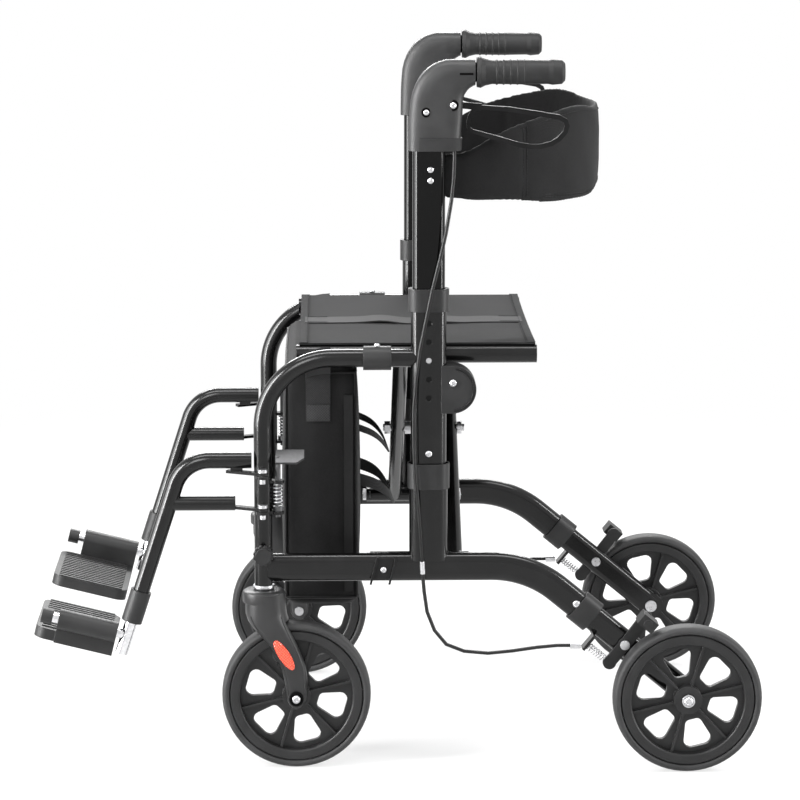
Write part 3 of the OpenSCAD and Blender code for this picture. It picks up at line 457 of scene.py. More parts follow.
def stitches(points, lift, pitch=0.0046, r=0.00045):
    """A row of thread stitches along a line; lift points away from the cloth."""
    made = []
    line = [Vector(p) for p in points]
    for a, b in zip(line, line[1:]):
        count = max(1, round((b - a).length / pitch))
        for k in range(count):
            p = a.lerp(b, (k + 0.15) / count)
            q = a.lerp(b, (k + 0.85) / count)
            rise = Vector(lift) * r * 1.3
            made.append(cord([p, p.lerp(q, 0.25) + rise, p.lerp(q, 0.75) + rise, q], r, 4))
    return made


# Handle housings: a moulded elbow from the upper post to the grip, round at the grip and boxy below.
# Each pair is a point on the front edge and its partner on the rear edge, in millimetres: distance in
# front of the post and height above the lower rim.
ELBOW = (
    ((26.5, 0), (-41, 0)), ((26.4, 12), (-41.6, 12)), ((26.2, 25), (-42.2, 24)), ((26, 38), (-43, 36)),
    ((25.2, 52), (-44, 48)), ((24, 66), (-44.3, 57)), ((21.5, 77), (-44.5, 64)), ((18, 86), (-45.3, 69)),
    ((13.5, 94.5), (-46.6, 73)), ((8, 102), (-48.4, 76.2)), ((1.4, 108), (-50.4, 78.8)),
    ((-6, 113), (-52.4, 80.8)), ((-14, 116.3), (-54.4, 82.3)), ((-22, 118.5), (-56.4, 83.4)),
    ((-31, 119), (-57.6, 84.2)), ((-42, 119), (-59, 84.7)), ((-53, 119), (-59.7, 85)),
    ((-60, 119), (-60.2, 85)))
# Caster forks, in the same way: distance in front of the wheel's hub and height above it.
FORK = (
    ((64, 141), (15, 141)), ((66.5, 132), (14.2, 132)), ((67.8, 122), (13.4, 121)),
    ((67.5, 112), (12.3, 110)), ((64.5, 103), (9.5, 101)), ((58, 94), (6, 93)), ((49, 84), (2, 83)),
    ((41, 75), (-2, 73.5)), ((34, 67), (-5.5, 65)),
    ((27.5, 56), (-9.5, 54)), ((22, 44), (-13, 43.5)), ((18.4, 31), (-14.9, 31)), ((16, 20), (-15.6, 20)),
    ((14.6, 9), (-15, 9)), ((14, 0), (-14, 0)), ((13, -5), (-13, -5)), ((10.5, -9.5), (-10.5, -9.5)),
    ((6, -13), (-6, -13)), ((1, -14.5), (-1, -14.5)))


class Moulding:
    """A bent moulding swept between a front and a rear edge, with a rounded section."""

    def __init__(self, pairs, corner, half, boxy):
        self.pairs, self.corner, self.half, self.boxy = pairs, Vector(corner), half, boxy
        self.count = len(pairs)

    def section(self, k):
        i = min(int(k), self.count - 2)
        t = k - i
        ends = []
        for (x0, z0), (x1, z1) in zip(self.pairs[i], self.pairs[i + 1]):
            ends.append(self.corner + Vector((x0 + (x1 - x0) * t, 0, z0 + (z1 - z0) * t)) / 1000)
        return (ends[0] + ends[1]) / 2, (ends[0] - ends[1]) / 2, self.boxy(k / (self.count - 1))

    def point(self, k, a, proud=0.0):
        centre, wide, n = self.section(k)
        across = wide * (1 + proud / wide.length) * power(math.cos(a), 2 / n)
        return centre + across + Vector((0, (self.half + proud) * power(math.sin(a), 2 / n), 0))

    def skin(self, n=48):
        return lofted([[self.point(k / 2, 2 * math.pi * j / n) for j in range(n)]
                       for k in range(2 * self.count - 1)])

    def on(self, x_mm, z_mm, g, proud=0.0):
        """The point on a side face, g is 1 or -1, above a place in the side view."""
        spot = self.corner + Vector((x_mm, 0, z_mm)) / 1000
        best = None
        for step in range(10 * (self.count - 1) + 1):
            centre, wide, n = self.section(step / 10)
            along = (spot - centre).dot(wide) / wide.length_squared
            miss = (spot - centre - wide * along).length
            if best is None or miss < best[0]:
                best = (miss, self.half * max(0.0, 1 - abs(along) ** n) ** (1 / n))
        return spot + Vector((0, g * (best[1] + proud), 0))

    def across(self, k, share, g, proud=0.0):
        """The point on a side face at a share of the way from the rear edge to the front edge."""
        centre, wide, n = self.section(k)
        along = 2 * share - 1
        bulge = self.half * (1 - abs(along) ** n) ** (1 / n)
        return centre + wide * along + Vector((0, g * (bulge + proud), 0))


HOUSING_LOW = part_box("left_handle")[0].z
LEVER_X, LEVER_Z = POST_X - 0.031, 0.892
for side, g in SIDES:
    y = g * HALF
    elbow = Moulding(ELBOW, (POST_X, y, HOUSING_LOW), 0.0165, lambda t: 3.0 - 0.8 * t)
    shell = piece(side + "handle_shell", elbow.skin(), "handle_plastic")
    slot_low = (LEVER_X - 0.060, y - 0.0045, LEVER_Z - 0.044)
    slot_high = (LEVER_X + 0.014, y + 0.0045, LEVER_Z + 0.014)
    carve(shell, block(slot_low, slot_high))
    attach(shell, side + "handle")
    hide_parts(side + "handle")
    turns = [math.radians(62 + 236 * j / 40) for j in range(41)]
    cuff = slab([[elbow.point(0.04 + 1.36 * i / 5, a, 0.0007) for a in turns] for i in range(6)], 0.0016)
    piece(side + "handle_cuff", cuff, "cuff_plastic", side + "handle")
    out = Vector((0, g, 0))
    places = ((4, 51, 0.0075), (-31, 60, 0.0085))
    heads = [screw(elbow.on(x, z, g, 0.0002), out, d) for x, z, d in places]
    heads += [rivet(in_plane(-178, z, g * UPPER_FACE), out, 0.0085) for z in (807.6, 793.2)]
    piece(side + "handle_screws", gathered(heads), "zinc_steel", side + "handle")
    # Near-black discs round the screws, a dark bar for the slot by the grip and a dark ring in the gap before
    # the grip: painted shade of these recesses and gaps.
    shade_marks = [turned([(d * 0.86, -0.0012), (d * 0.86, 0.0002), (d * 0.7, 0.0003), (d * 0.5, 0.0002)],
                    elbow.on(x, z, g), out, 28) for x, z, d in places]
    shade_marks.append(slab([[elbow.on(x, z, g, 0.0001) for x in (-39.5, -44, -48.5, -53, -57)]
                       for z in (99.6, 101, 102.4)], 0.0005))
    grip = middle(side + "grip")
    shade_marks.append(turned([(0.0128, 0), (0.0128, 0.0042)], (POST_X - 0.0588, y, grip.z), (-1, 0, 0), 32))
    piece(side + "handle_shade_marks", gathered(shade_marks), "deep_shade", side + "handle")

# Wheels: rubber tyre with a rolled edge, and the plastic rim band that it sits on.
TYRE = mirrored([(0.0894, 0.0125), (0.0906, 0.0152), (0.0930, 0.0165), (0.0954, 0.0163), (0.0976, 0.0147),
                 (0.0991, 0.0115), (0.0998, 0.0070), (0.1000, 0.0015)])
RIM_BAND = mirrored([(0.0755, 0.0100), (0.0757, 0.0138), (0.0768, 0.0150), (0.0784, 0.0154), (0.0860, 0.0158),
                     (0.0880, 0.0154), (0.0892, 0.0138), (0.0893, 0.0100)])
for side, g in SIDES:
    for end in ("front", "rear"):
        wheel, tyre = side + end + "_wheel", side + end + "_tyre"
        hub = middle(tyre)
        made = piece(wheel + "_tyre", ring(TYRE, hub), "tyre_rubber", wheel, 50)
        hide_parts(tyre)
        piece(wheel + "_band", ring(RIM_BAND, hub), "wheel_plastic", wheel, 35)

# Fasteners, fork dressing, rail clips and cable ferrules on the two sides.
STOP_X, STOP_Z, STOP_R = POST_X - 0.031, HOOP_Z - 0.041, 0.0285
RAIL_Z = middle("left_knob").z - 0.021
CLIP_X, CLIP_LEAN = -116, 0.25
FORK_SLOT = 0.0195
FORK_CAP = ((0.0255, 0), (0.0278, 0.0006), (0.0284, 0.002), (0.0284, 0.0122), (0.0276, 0.0150),
            (0.0248, 0.0168), (0.0200, 0.0172))
REFLECTOR_LEAN = math.radians(58)


def on_clip(x, z, y):
    """A point on a rail clip, which leans back; x and z are in millimetres from its middle."""
    return in_plane(CLIP_X + x - CLIP_LEAN * z, RAIL_Z * 1000 + z, y)


def fork_boxy(t):
    """How square a fork's section is, from its crown to its foot."""
    return 2.3 + 2.7 * clamp((t - 0.15) / 0.4)


for side, g in SIDES:
    out = Vector((0, g, 0))
    stop_y = g * outer_face(side + "seat_rests", STOP_X - 0.01, STOP_Z, 0.026, g)
    clip_y = g * (HALF + 0.011)
    heads = [
        screw(in_plane(-176, 430, g * POST_FACE), out, 0.009),
        screw(in_plane(-374, 224, g * (HALF + 0.011)), out, 0.010),
        screw(in_plane(-108, 573.3, g * HALF), (0, 0, 1), 0.008),
        screw((STOP_X - 0.001, stop_y, STOP_Z + 0.009), out, 0.010),
        screw(in_plane(CLIP_X, RAIL_Z * 1000 - 1, clip_y + g * 0.0034), out, 0.008),
    ]
    piece(side + "frame_screws", gathered(heads), "zinc_steel", side + "frame")
    arc = [math.radians(100 + 165 * k / 24) for k in range(25)]
    stop_rim = [(STOP_X + STOP_R * math.cos(a), stop_y, STOP_Z + STOP_R * math.sin(a)) for a in arc]
    trim = [cord(stop_rim, 0.0016)]
    trim.append(slab([[on_clip(x, z, clip_y + g * 0.002) for x in (-11, -5, 5, 11)]
                      for z in (-15, -7, 0, 7, 15)], 0.0028))
    for x in (-13, 12):
        trim.append(slab([[on_clip(x + w, z, clip_y + g * 0.0028) for w in (-1.4, 1.4)]
                          for z in (-21, -8, 6, 16)], 0.0044))
    piece(side + "frame_trim", gathered(trim), "clip_plastic", side + "frame")
    sleeve = [turned([(0.0137, 0), (0.0140, 0.0006), (0.0140, 0.0044), (0.0137, 0.005)],
                     (STEM_X, g * HALF, 0.2456), UP, 32)]
    ferrule = [(POST_X + 0.0086, g * (HALF + 0.0181), 0.285), (POST_X + 0.0078, g * (HALF + 0.0170), 0.268)]
    sleeve.append(cord(ferrule, 0.0036, 16))
    piece(side + "frame_sleeves", gathered(sleeve), "zinc_steel", side + "frame")

    hub = middle(side + "front_tyre")
    fork = Moulding(FORK, (hub.x, g * HALF, hub.z), 0.0285, fork_boxy)
    shell = piece(side + "fork_shell", fork.skin(), "fork_plastic")
    carve(shell, turned([(0.104, -FORK_SLOT), (0.104, FORK_SLOT)], hub, (0, 1, 0), 64))
    carve(shell, block((hub.x - 0.1, hub.y - FORK_SLOT, 0), (hub.x + 0.1, hub.y + FORK_SLOT, hub.z)))
    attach(shell, side + "caster")
    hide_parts(side + "caster_fork")
    cap = [turned(FORK_CAP, (STEM_X, g * HALF, 0.2270), UP, 48)]
    for share in (0.13, 0.87):
        for face in (1, -1):
            bead = [fork.across(3 + 10.5 * k / 30, share, face, -0.0002) for k in range(31)]
            cap.append(cord(bead, 0.0010))
    piece(side + "fork_dressing", gathered(cap), "fork_plastic", side + "caster")
    bolt_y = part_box(side + "caster_bolts")[1 if g > 0 else 0].y
    # A near-black ring round the bolt head: painted shade.
    shade_mark = turned([(0.0098, -0.003), (0.0098, 0.0002), (0.0088, 0.0008), (0.0064, 0.0006), (0.0056, 0.0002)],
                  (hub.x, bolt_y, hub.z), out, 32)
    piece(side + "fork_shade_mark", shade_mark, "deep_shade", side + "caster")
    bolt = screw((hub.x, bolt_y, hub.z), out, 0.0112)
    piece(side + "fork_bolt", bolt, "zinc_steel", side + "caster")
    centre = fork.on(1000 * (in_plane(17, 160, 0).x - hub.x), 1000 * (0.160 - hub.z), g, -0.0006)
    along = Vector((math.cos(REFLECTOR_LEAN), 0, math.sin(REFLECTOR_LEAN)))
    across = Vector((-along.z, 0, along.x))
    rim = []
    for k in range(40):
        a = 2 * math.pi * k / 40
        rim.append(along * 0.0235 * power(math.cos(a), 1.06) + across * 0.0076 * power(math.sin(a), 0.94))
    rings = [[centre + p * s + out * h for p in rim]
             for s, h in ((1, -0.001), (1, 0.0012), (0.93, 0.0020), (0.55, 0.0026))]
    piece(side + "reflector", lofted(rings), "reflector_red", side + "caster")

    spot = middle(side + "rear_tyre")
    axle_y = outer_face(side + "frame_pins", spot.x, spot.z, 0.012, g) * g
    axle = screw((spot.x, axle_y, spot.z), out, 0.0135)
    piece(side + "axle_bolt", axle, "zinc_steel", side + "frame")


# Seat: one sheet on the two seat rails, hemmed front and rear, with a pull strap along its middle.
seat_low, seat_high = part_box("seat_cloth")
CLOTH_T = 0.0024
SEAT_SAG = 0.005


def seat_drop(u, y):
    """How far the cloth sinks between its rails; u runs from rear to front."""
    t = abs(y) / seat_high.y
    return SEAT_SAG * max(0.0, 1 - t ** 2.4) * (0.6 + 0.4 * math.cos(math.pi * (u - 0.5)))


def seat_point(u, y, lift=0.0):
    x = seat_low.x + u * (seat_high.x - seat_low.x)
    ripple = 0.0007 * math.sin(40 * x + 7 * y) * (1 - (abs(y) / seat_high.y) ** 4)
    return Vector((x, y, seat_low.z + CLOTH_T / 2 + 0.0002 - seat_drop(u, y) + ripple + lift))


ROWS, COLS = 41, 61
lines = [seat_low.y + (seat_high.y - seat_low.y) * j / (COLS - 1) for j in range(COLS)]
cloth = [slab([[seat_point(i / (ROWS - 1), y) for y in lines] for i in range(ROWS)], CLOTH_T)]
HEM = 0.012 / (seat_high.x - seat_low.x)
for u0, u1 in ((0.0, HEM), (1 - HEM, 1.0)):
    hem = [[seat_point(u0 + (u1 - u0) * k / 3, y, 0.0017) for y in lines] for k in range(4)]
    cloth.append(slab(hem, 0.0012))
seat = piece("seat_sheet", gathered(cloth), "seat_fabric", None)
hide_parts("seat_cloth")

strap_line = []
for k in range(33):
    u = 0.02 + 0.96 * k / 32
    lift = 0.0022 + 0.0030 * hump(u, 0.64, 0.07) + 0.0018 * hump(u, 0.36, 0.05)
    strap_line.append(seat_point(u, 0, lift))
strap = piece("seat_strap", webbing(strap_line, (0, 1, 0), 0.050), "strap_web", None)
thread_rows = []
for u in (HEM * 0.85, 1 - HEM * 0.85):
    thread_rows += stitches([seat_point(u, y, 0.0024) for y in lines[1:-1]], UP)
for y in (-0.022, 0.022):
    for u0, u1 in ((0.03, 0.12), (0.88, 0.97)):
        thread_rows += stitches([seat_point(u0 + (u1 - u0) * k / 4, y, 0.0031) for k in range(5)], UP)
seat_thread = piece("seat_stitches", gathered(thread_rows), "thread", None)
for made in (seat, strap, seat_thread):
    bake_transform(made)


# Backrest: a padded band bowed behind the posts, tallest in the middle, pieced from panels.
BAND_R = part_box("backrest")[1].y
BAND_T = 0.013
BOW_X = POST_X - 0.014
TOP_EDGE = ((-0.012, 0.826), (0.050, 0.830), (0.090, 0.848), (0.150, 0.870), (0.203, 0.880), (0.244, 0.873))
LOW_EDGE = ((-0.012, 0.772), (0.060, 0.764), (0.140, 0.757), (0.205, 0.751), (0.225, 0.752), (0.244, 0.762))


def along_edge(edge, x):
    """Height of an edge at a place; edges are given as distances behind the posts."""
    back = min(max(POST_X - x, edge[0][0]), edge[-1][0])
    slopes = []
    for i in range(len(edge)):
        (a, za), (b, zb) = edge[max(i - 1, 0)], edge[min(i + 1, len(edge) - 1)]
        slopes.append((zb - za) / (b - a))
    for i, ((a, za), (b, zb)) in enumerate(zip(edge, edge[1:])):
        if back <= b:
            w = b - a
            t = (back - a) / w
            return (za * (1 + 2 * t) * (1 - t) ** 2 + slopes[i] * w * t * (1 - t) ** 2
                    + zb * t * t * (3 - 2 * t) + slopes[i + 1] * w * t * t * (t - 1))


def band_place(s):
    """Place and outward direction on the band's outer face; s runs from -1 to 1 and left to right."""
    a = math.pi * (s + 1) / 2
    return (Vector((BOW_X - BAND_R * math.sin(a), BAND_R * math.cos(a), 0)),
            Vector((-math.sin(a), math.cos(a), 0)))


STEPS = 120
places = [(Vector((POST_X + 0.010, BAND_R, 0)), Vector((0, 1, 0)))]
places += [band_place(-1 + 2 * k / STEPS) for k in range(STEPS + 1)]
places += [(Vector((POST_X + 0.010, -BAND_R, 0)), Vector((0, -1, 0)))]
SEAMS = (-0.66, 0.66)
rings = []
for i, (p, n) in enumerate(places):
    s = -1 + 2 * (i - 1) / STEPS
    z0, z1 = along_edge(LOW_EDGE, p.x), along_edge(TOP_EDGE, p.x)
    mid, half = (z0 + z1) / 2, (z1 - z0) / 2
    full = BAND_T * (0.45 + 0.55 * clamp((POST_X - p.x) / 0.06))
    middle_line = p - n * (full / 2 + 0.0014)
    full *= 1 - 0.45 * sum(hump(s, seam, 0.012) for seam in SEAMS)
    section = []
    for k in range(24):
        a = 2 * math.pi * (k + 0.5) / 24
        c, v = math.cos(a), math.sin(a)
        off = power(c, 0.55) * full / 2
        rise = power(v, 0.5) * half
        wrinkle = 0.0011 * math.sin(23 * s + 60 * rise) * math.sin(9 * s) * (1 - abs(v) ** 4)
        sag = 0.0012 * math.sin(17 * s + 1.3) * abs(v) ** 3
        section.append(middle_line + n * (off + wrinkle) + UP * (mid + rise * 0.985 + sag))
    rings.append(section)


def band_sewn(p):
    """The band is sewn down along its seams, its upper and lower edges and its ends."""
    s = 2 * math.atan2(max(BOW_X - p.x, 0.0), p.y) / math.pi - 1
    near_seam = min(abs(s - seam) for seam in SEAMS) < 0.011
    near_edge = min(along_edge(TOP_EDGE, p.x) - p.z, p.z - along_edge(LOW_EDGE, p.x)) < 0.010
    return near_seam or near_edge or p.x > POST_X - 0.030


band = piece("backrest_band", lofted(rings), "band_fabric", None, 70)
swollen(band, voxel=0.004, pressure=4.0, reach=0.0035, sewn=band_sewn)
# The band's inward faces get a much darker cloth: painted shade for the inside of the bow.
band.data.materials.append(FINISHES["band_inner_shade"])
for face in band.data.polygons:
    bow = Vector((min(face.center.x - BOW_X, 0.0), face.center.y, 0))
    face.material_index = 1 if face.normal.dot(bow) < 0 else 0
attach(band, "right_handle")
thread_rows = []
hem_line = [places[k] for k in range(1, STEPS + 2)]
for edge, inset in ((LOW_EDGE, 0.008), (LOW_EDGE, 0.011), (TOP_EDGE, -0.008)):
    line = [p - n * 0.0026 + UP * (along_edge(edge, p.x) + inset) for p, n in hem_line[26:-26]]
    thread_rows += stitches(line, (0, 0, 0), 0.005)
for seam in SEAMS:
    for shift in (-0.008, 0.008):
        p, n = band_place(seam + shift)
        z0, z1 = along_edge(LOW_EDGE, p.x) + 0.006, along_edge(TOP_EDGE, p.x) - 0.006
        line = [p - n * 0.0026 + UP * (z0 + (z1 - z0) * k / 12) for k in range(13)]
        thread_rows += stitches(line, (0, 0, 0), 0.005)
band_thread = piece("backrest_stitches", gathered(thread_rows), "thread", "right_handle")
for made in (band, band_thread):
    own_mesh(made)
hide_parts("backrest")


# Bag: a slack box shell between the hoops, with piping, hook straps over the hoops and two pull loops.
BAG_HALF = 0.193
BAG_FRONT, BAG_BACK = STEM_X - 0.027, STEM_X - 0.127
BAG_TOP, BAG_LOW = HOOP_Z - 0.0165, HOOP_Z - 0.0165 - 0.332
BAG_MID = (BAG_FRONT + BAG_BACK) / 2
BAG_CORNER = 0.009
SEWN_REACH = 0.016


def box_round(share, depth, width, r):
    """Place on the outline of a rounded box; share runs once round it from the middle of its front."""
    runs = [width - r, math.pi * r / 2, 2 * (depth - r), math.pi * r / 2]
    runs = runs + [2 * (width - r), math.pi * r / 2, 2 * (depth - r), math.pi * r / 2, width - r]
    left = (share % 1.0) * sum(runs)
    for i, run in enumerate(runs):
        if left <= run or i == len(runs) - 1:
            break
        left -= run
    turn = left / r
    if i in (0, 8):
        return depth, left if i == 0 else left - (width - r)
    if i == 2:
        return depth - r - left, width
    if i == 4:
        return -depth, width - r - left
    if i == 6:
        return left - depth + r, -width
    cx, cy, start = {1: (1, 1, 0), 3: (-1, 1, 90), 5: (-1, -1, 180), 7: (1, -1, 270)}[i]
    a = math.radians(start) + turn
    return cx * (depth - r) + r * math.cos(a), cy * (width - r) + r * math.sin(a)


def bag_skin(t, share, proud=0.0):
    """Point on the bag; t runs up it and share goes round it."""
    z = BAG_LOW + t * (BAG_TOP - BAG_LOW)
    edge = min(t, 1 - t) * (BAG_TOP - BAG_LOW)
    tuck = 0.010 * max(0.0, 1 - edge / 0.014) ** 2
    depth = (BAG_FRONT - BAG_BACK) / 2 - tuck + proud - 0.008 * max(0.0, t - 0.55) ** 1.2
    width = BAG_HALF - tuck + proud - 0.0025
    x, y = box_round(share, depth, width, BAG_CORNER)
    flat_y = max(0.0, 1 - (abs(y) / (width - 0.006)) ** 6) if abs(y) < width - 0.006 else 0.0
    flat_x = max(0.0, 1 - (abs(x) / (depth - 0.006)) ** 4) if abs(x) < depth - 0.006 else 0.0
    rise = math.sin(math.pi * t)
    x += math.copysign(1, x) * flat_y * rise * (0.0022 * math.sin(24 * y + 15 * z) - 0.002)
    x += math.copysign(1, x) * flat_y * 0.0012 * math.sin(70 * z - 31 * y) * hump(t, 0.12, 0.16)
    fold = 0.0010 * math.sin(95 * z + 40 * x) * hump(t, 0.1, 0.14)
    y += math.copysign(1, y) * flat_x * (rise * (0.0012 * math.sin(41 * z + 60 * x) - 0.0018) + fold)
    return Vector((BAG_MID + x, y, z))


LEVELS = 57
ROUND = 176
rings = [[bag_skin(i / (LEVELS - 1), k / ROUND) for k in range(ROUND)] for i in range(LEVELS)]


def bag_sewn(p):
    """The bag is sewn down along its four upright corners and round its top and foot."""
    near_end = min(abs(p.x - BAG_FRONT), abs(p.x - BAG_BACK)) < SEWN_REACH
    upright = abs(abs(p.y) - BAG_HALF) < SEWN_REACH and near_end
    return upright or min(BAG_TOP - p.z, p.z - BAG_LOW) < SEWN_REACH


bag = piece("bag_body", lofted(rings), "bag_fabric", None, 60)
swollen(bag, voxel=0.006, pressure=3.0, reach=0.004, sewn=bag_sewn)
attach(bag, "right_frame")

trim, patches = [], []


def bag_corner(cx, cy):
    """Share of the way round the bag at the middle of a corner."""
    return min((k / 2000 for k in range(2000)),
               key=lambda q: (bag_skin(0.5, q) - Vector((BAG_MID + cx, cy, bag_skin(0.5, q).z))).length)


for _, g in SIDES:
    for cx in (0.06, -0.06):
        share = bag_corner(cx, g * 0.2)
        trim.append(cord([bag_skin(0.04 + 0.92 * k / 36, share, 0.0004) for k in range(37)], 0.0021))
    strip = [Vector((BAG_BACK + 0.013, g * (BAG_HALF - 0.0012), BAG_LOW + 0.02 + 0.27 * k / 14))
             for k in range(15)]
    trim.append(webbing(strip, (1, 0, 0), 0.012, 0.0014))
for t in (0.035, 0.965):
    loop = [bag_skin(t, k / 120, 0.0004) for k in range(121)]
    trim.append(cord(loop, 0.0019))
piping = piece("bag_piping", gathered(trim), "piping_cord", "right_frame")

STRAP_X = STEM_X - 0.0736
STRAP_HALF = 0.0165
# A hook's reach up and inwards from the hoop's middle; it stays clear of the hoop when folded.
HOOK_UP = HOOP_R + 0.0017
HOOK_IN = (HOOP_R + 0.0014) / FOLD_KEEP
# Two slack pull loops on the rear face: height, sag, reach behind the bag, half spread and width.
PULL_LOOPS = ((0.428, 0.036, 0.046, 0.045, 0.012), (0.357, 0.034, 0.052, 0.055, 0.020))


def hoop_dip(x, z):
    """How far a strap bends down with the hoop it hangs on; its foot stays level."""
    out = HOOP_BEND + HOOP_R
    past = max(0.0, x - (STEM_X - HOOP_BEND))
    return (out - math.sqrt(out * out - past * past)) * clamp((z - HOOP_Z + 0.07) / 0.04)


straps = []
for _, g in SIDES:
    face = BAG_HALF + 0.0006
    line = [Vector((STRAP_X, g * face, HOOP_Z - 0.094 + 0.066 * k / 8)) for k in range(9)]
    for k in range(9):
        a = math.radians(215 - 112 * k / 8)
        line.append(Vector((STRAP_X, g * (HALF + HOOK_IN * math.cos(a)), HOOP_Z + HOOK_UP * math.sin(a))))
    widths = [STRAP_X + STRAP_HALF * s for s in (-1, -0.34, 0.34, 1)]
    straps.append(slab([[Vector((x, p.y, p.z - hoop_dip(x, p.z))) for x in widths] for p in line], 0.0018))
    patch = [Vector((STRAP_X, g * (face + 0.0015), HOOP_Z - 0.093 + 0.022 * k / 6)) for k in range(7)]
    patches.append(webbing(patch, (1, 0, 0), 0.031, 0.0016))
for z0, drop, reach, spread, wide in PULL_LOOPS:
    line = []
    for k in range(33):
        t = k / 32
        arch = math.sin(math.pi * t) ** 0.8
        sink = drop * (0.75 * arch + 0.25 * math.sin(math.pi * t) ** 3)
        twist = 0.004 * math.sin(3 * math.pi * t)
        x, y = BAG_BACK + 0.003 - reach * arch, spread * math.cos(math.pi * t)
        line.append(Vector((x, y, z0 - sink + twist)))
    straps.append(webbing(line, (0.35, 0, 1), wide, 0.0016))
straps = piece("bag_straps", gathered(straps), "strap_web", "right_frame")
patch = piece("bag_strap_patch", gathered(patches), "loop_patch", "right_frame")
for made in (bag, piping, straps, patch):
    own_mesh(made)
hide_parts("bag")


# Coils, cables and levers: the springs' solid is split into a brake coil and a latch coil, the cable is
# copied as it is, and a lever's loop is a little thicker than its solid outside the housing.
LOOP_START, LOOP_RUN, LOOP_SWELL = -0.095, 0.02, 0.0013


def part_of(node, wanted=None):
    """The faces of a solid, or those that pass a test, as vertices and faces."""
    mesh = NODES[node].data
    spots, faces = {}, []
    for f in mesh.polygons:
        corners = [mesh.vertices[i].co for i in f.vertices]
        if wanted is None or wanted(corners[0]):
            faces.append(tuple(spots.setdefault(tuple(round(c, 6) for c in p), len(spots)) for p in corners))
    return list(spots), faces


for side, g in SIDES:
    coil = part_of(side + "springs", lambda p: p.x < 0)
    coil = piece(side + "brake_coil", coil, "spring_steel", side + "frame", 60)
    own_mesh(coil)
    latch = part_of(side + "springs", lambda p: p.x > 0)
    latch = piece(side + "latch_coil", latch, "spring_steel", side + "frame", 60)
    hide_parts(side + "springs")
    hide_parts(side + "springs")
    cable = part_of(side + "brake_cable")
    cable = piece(side + "cable_jacket", cable, "cable_jacket", None, 60)
    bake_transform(cable)
    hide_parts(side + "brake_cable")
    slot = SLOT[side + "brake_lever"]
    lever = piece(side + "lever_loop", part_of(side + "brake_lever"), slot, None, 60)
    for v in lever.data.vertices:
        v.co += v.normal * LOOP_SWELL * clamp((LOOP_START - v.co.x) / LOOP_RUN)
    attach(lever, side + "lever")
    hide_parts(side + "brake_lever")


# Floor, light and camera.
scene = bpy.context.scene
floor_white = Finish("floor_white", (0.9, 0.9, 0.9), 0.9)
floor = piece("floor", ([(-9, -9, 0), (9, -9, 0), (9, 9, 0), (-9, 9, 0)], [(0, 1, 2, 3)]), "floor_white")


def seen_directly(tree):
    """1 for rays from the camera, a mirror or glass, and 0 for light that falls on the object."""
    rays = tree.nodes.new("ShaderNodeLightPath")
    total = rays.outputs["Is Camera Ray"]
    for key in ("Is Glossy Ray", "Is Transmission Ray"):
        larger = tree.nodes.new("ShaderNodeMath")
        larger.operation = "MAXIMUM"
        tree.links.new(total, larger.inputs[0])
        tree.links.new(rays.outputs[key], larger.inputs[1])
        total = larger.outputs[0]
    return total


world = bpy.data.worlds.new("studio")
scene.world = world
world.use_nodes = True
sky = world.node_tree
dim = sky.nodes["Background"]
dim.inputs["Color"].default_value = (1, 1, 1, 1)
dim.inputs["Strength"].default_value = 0.22
white = sky.nodes.new("ShaderNodeBackground")
white.inputs["Color"].default_value = (1, 1, 1, 1)
white.inputs["Strength"].default_value = 1.0
choice = sky.nodes.new("ShaderNodeMixShader")
sky.links.new(seen_directly(sky), choice.inputs[0])
sky.links.new(dim.outputs[0], choice.inputs[1])
sky.links.new(white.outputs[0], choice.inputs[2])
sky.links.new(choice.outputs[0], sky.nodes["World Output"].inputs["Surface"])

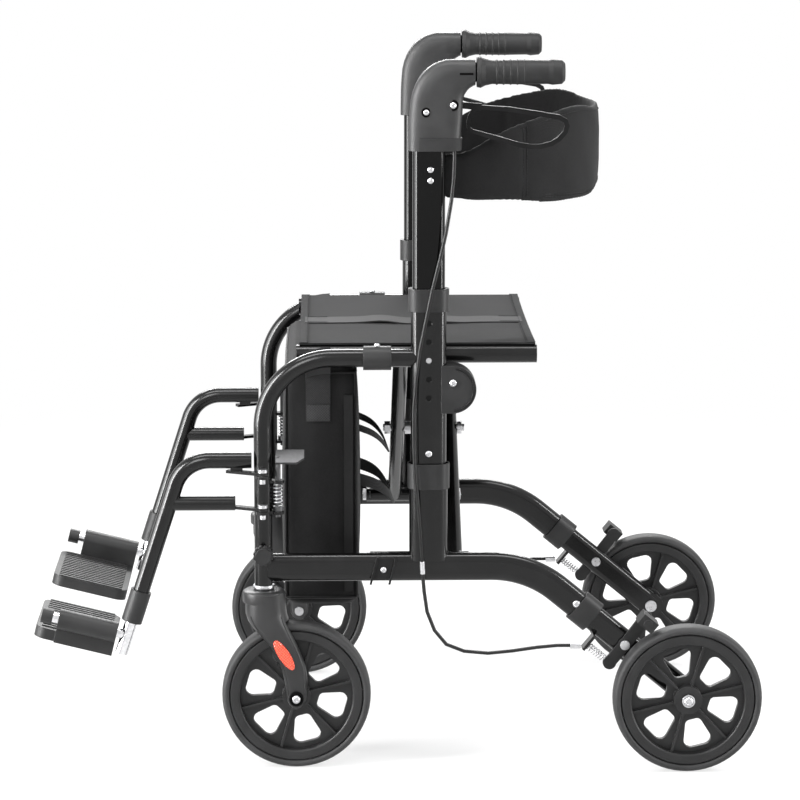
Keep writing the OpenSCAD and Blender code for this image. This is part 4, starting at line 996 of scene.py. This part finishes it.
ground = FINISHES["floor_white"].node_tree
glow = ground.nodes.new("ShaderNodeEmission")
glow.inputs["Color"].default_value = (1, 1, 1, 1)
glow.inputs["Strength"].default_value = 1.0
fade = floor_white.node("VectorMath", {"operation": "LENGTH"}, {0: floor_white.place()})
nearness = Value(floor_white, fade.outputs["Value"]).span(0.7, 2.4)
share = Value(floor_white, seen_directly(ground)) * (nearness * 0.3 + 0.7)
mixed = ground.nodes.new("ShaderNodeMixShader")
ground.links.new(share.out, mixed.inputs[0])
ground.links.new(ground.nodes["Principled BSDF"].outputs[0], mixed.inputs[1])
ground.links.new(glow.outputs[0], mixed.inputs[2])
ground.links.new(mixed.outputs[0], ground.nodes["Material Output"].inputs["Surface"])


def lamp(name, place, target, size, watts, shine_only=False):
    """A lamp panel aimed at a point; a shine-only one shows in reflections and lights nothing else."""
    data = bpy.data.lights.new(name, "AREA")
    data.shape = "RECTANGLE"
    data.size, data.size_y = size
    data.energy = watts
    made = bpy.data.objects.new(name, data)
    made.location = place
    made.rotation_euler = (Vector(target) - Vector(place)).to_track_quat("-Z", "Y").to_euler()
    made.visible_camera = False
    made.visible_diffuse = not shine_only
    scene.collection.objects.link(made)


lamp("strip_front", (2.5, 1.3, 1.1), (0, 0, 0.5), (0.40, 2.6), 150)
lamp("strip_rear", (-2.7, 0.9, 1.1), (0, 0, 0.5), (0.26, 2.6), 95)
lamp("overhead", (0, 0.5, 3.0), (0, 0, 0.3), (3.2, 0.5), 70)
lamp("card", (2.9, 0.6, 1.1), (0, 0, 0.6), (1.7, 2.4), 130, shine_only=True)
lamp("front_fill", (1.4, 3.6, 2.6), (0, 0, 0.5), (1.4, 1.4), 60)
lamp("behind", (0.2, -2.6, 2.0), (0, 0, 0.5), (2.6, 0.5), 110)

PAN, TILT = math.radians(1.26), math.radians(10.50)
right = Vector((-math.cos(PAN), math.sin(PAN), 0))
ahead = math.cos(TILT) * Vector((-math.sin(PAN), -math.cos(PAN), 0)) - math.sin(TILT) * UP
above = right.cross(ahead)
lens_data = bpy.data.cameras.new("camera")
lens_data.sensor_width = 36
lens_data.lens = 149.3
lens_data.clip_end = 60
camera = bpy.data.objects.new("camera", lens_data)
stand = Vector((PLANE_X - 0.0432, 4.560, 1.3013))
camera.matrix_world = Matrix([(right[i], above[i], -ahead[i], stand[i]) for i in range(3)] + [(0, 0, 0, 1)])
scene.collection.objects.link(camera)
scene.camera = camera
scene.view_settings.view_transform = "Standard"
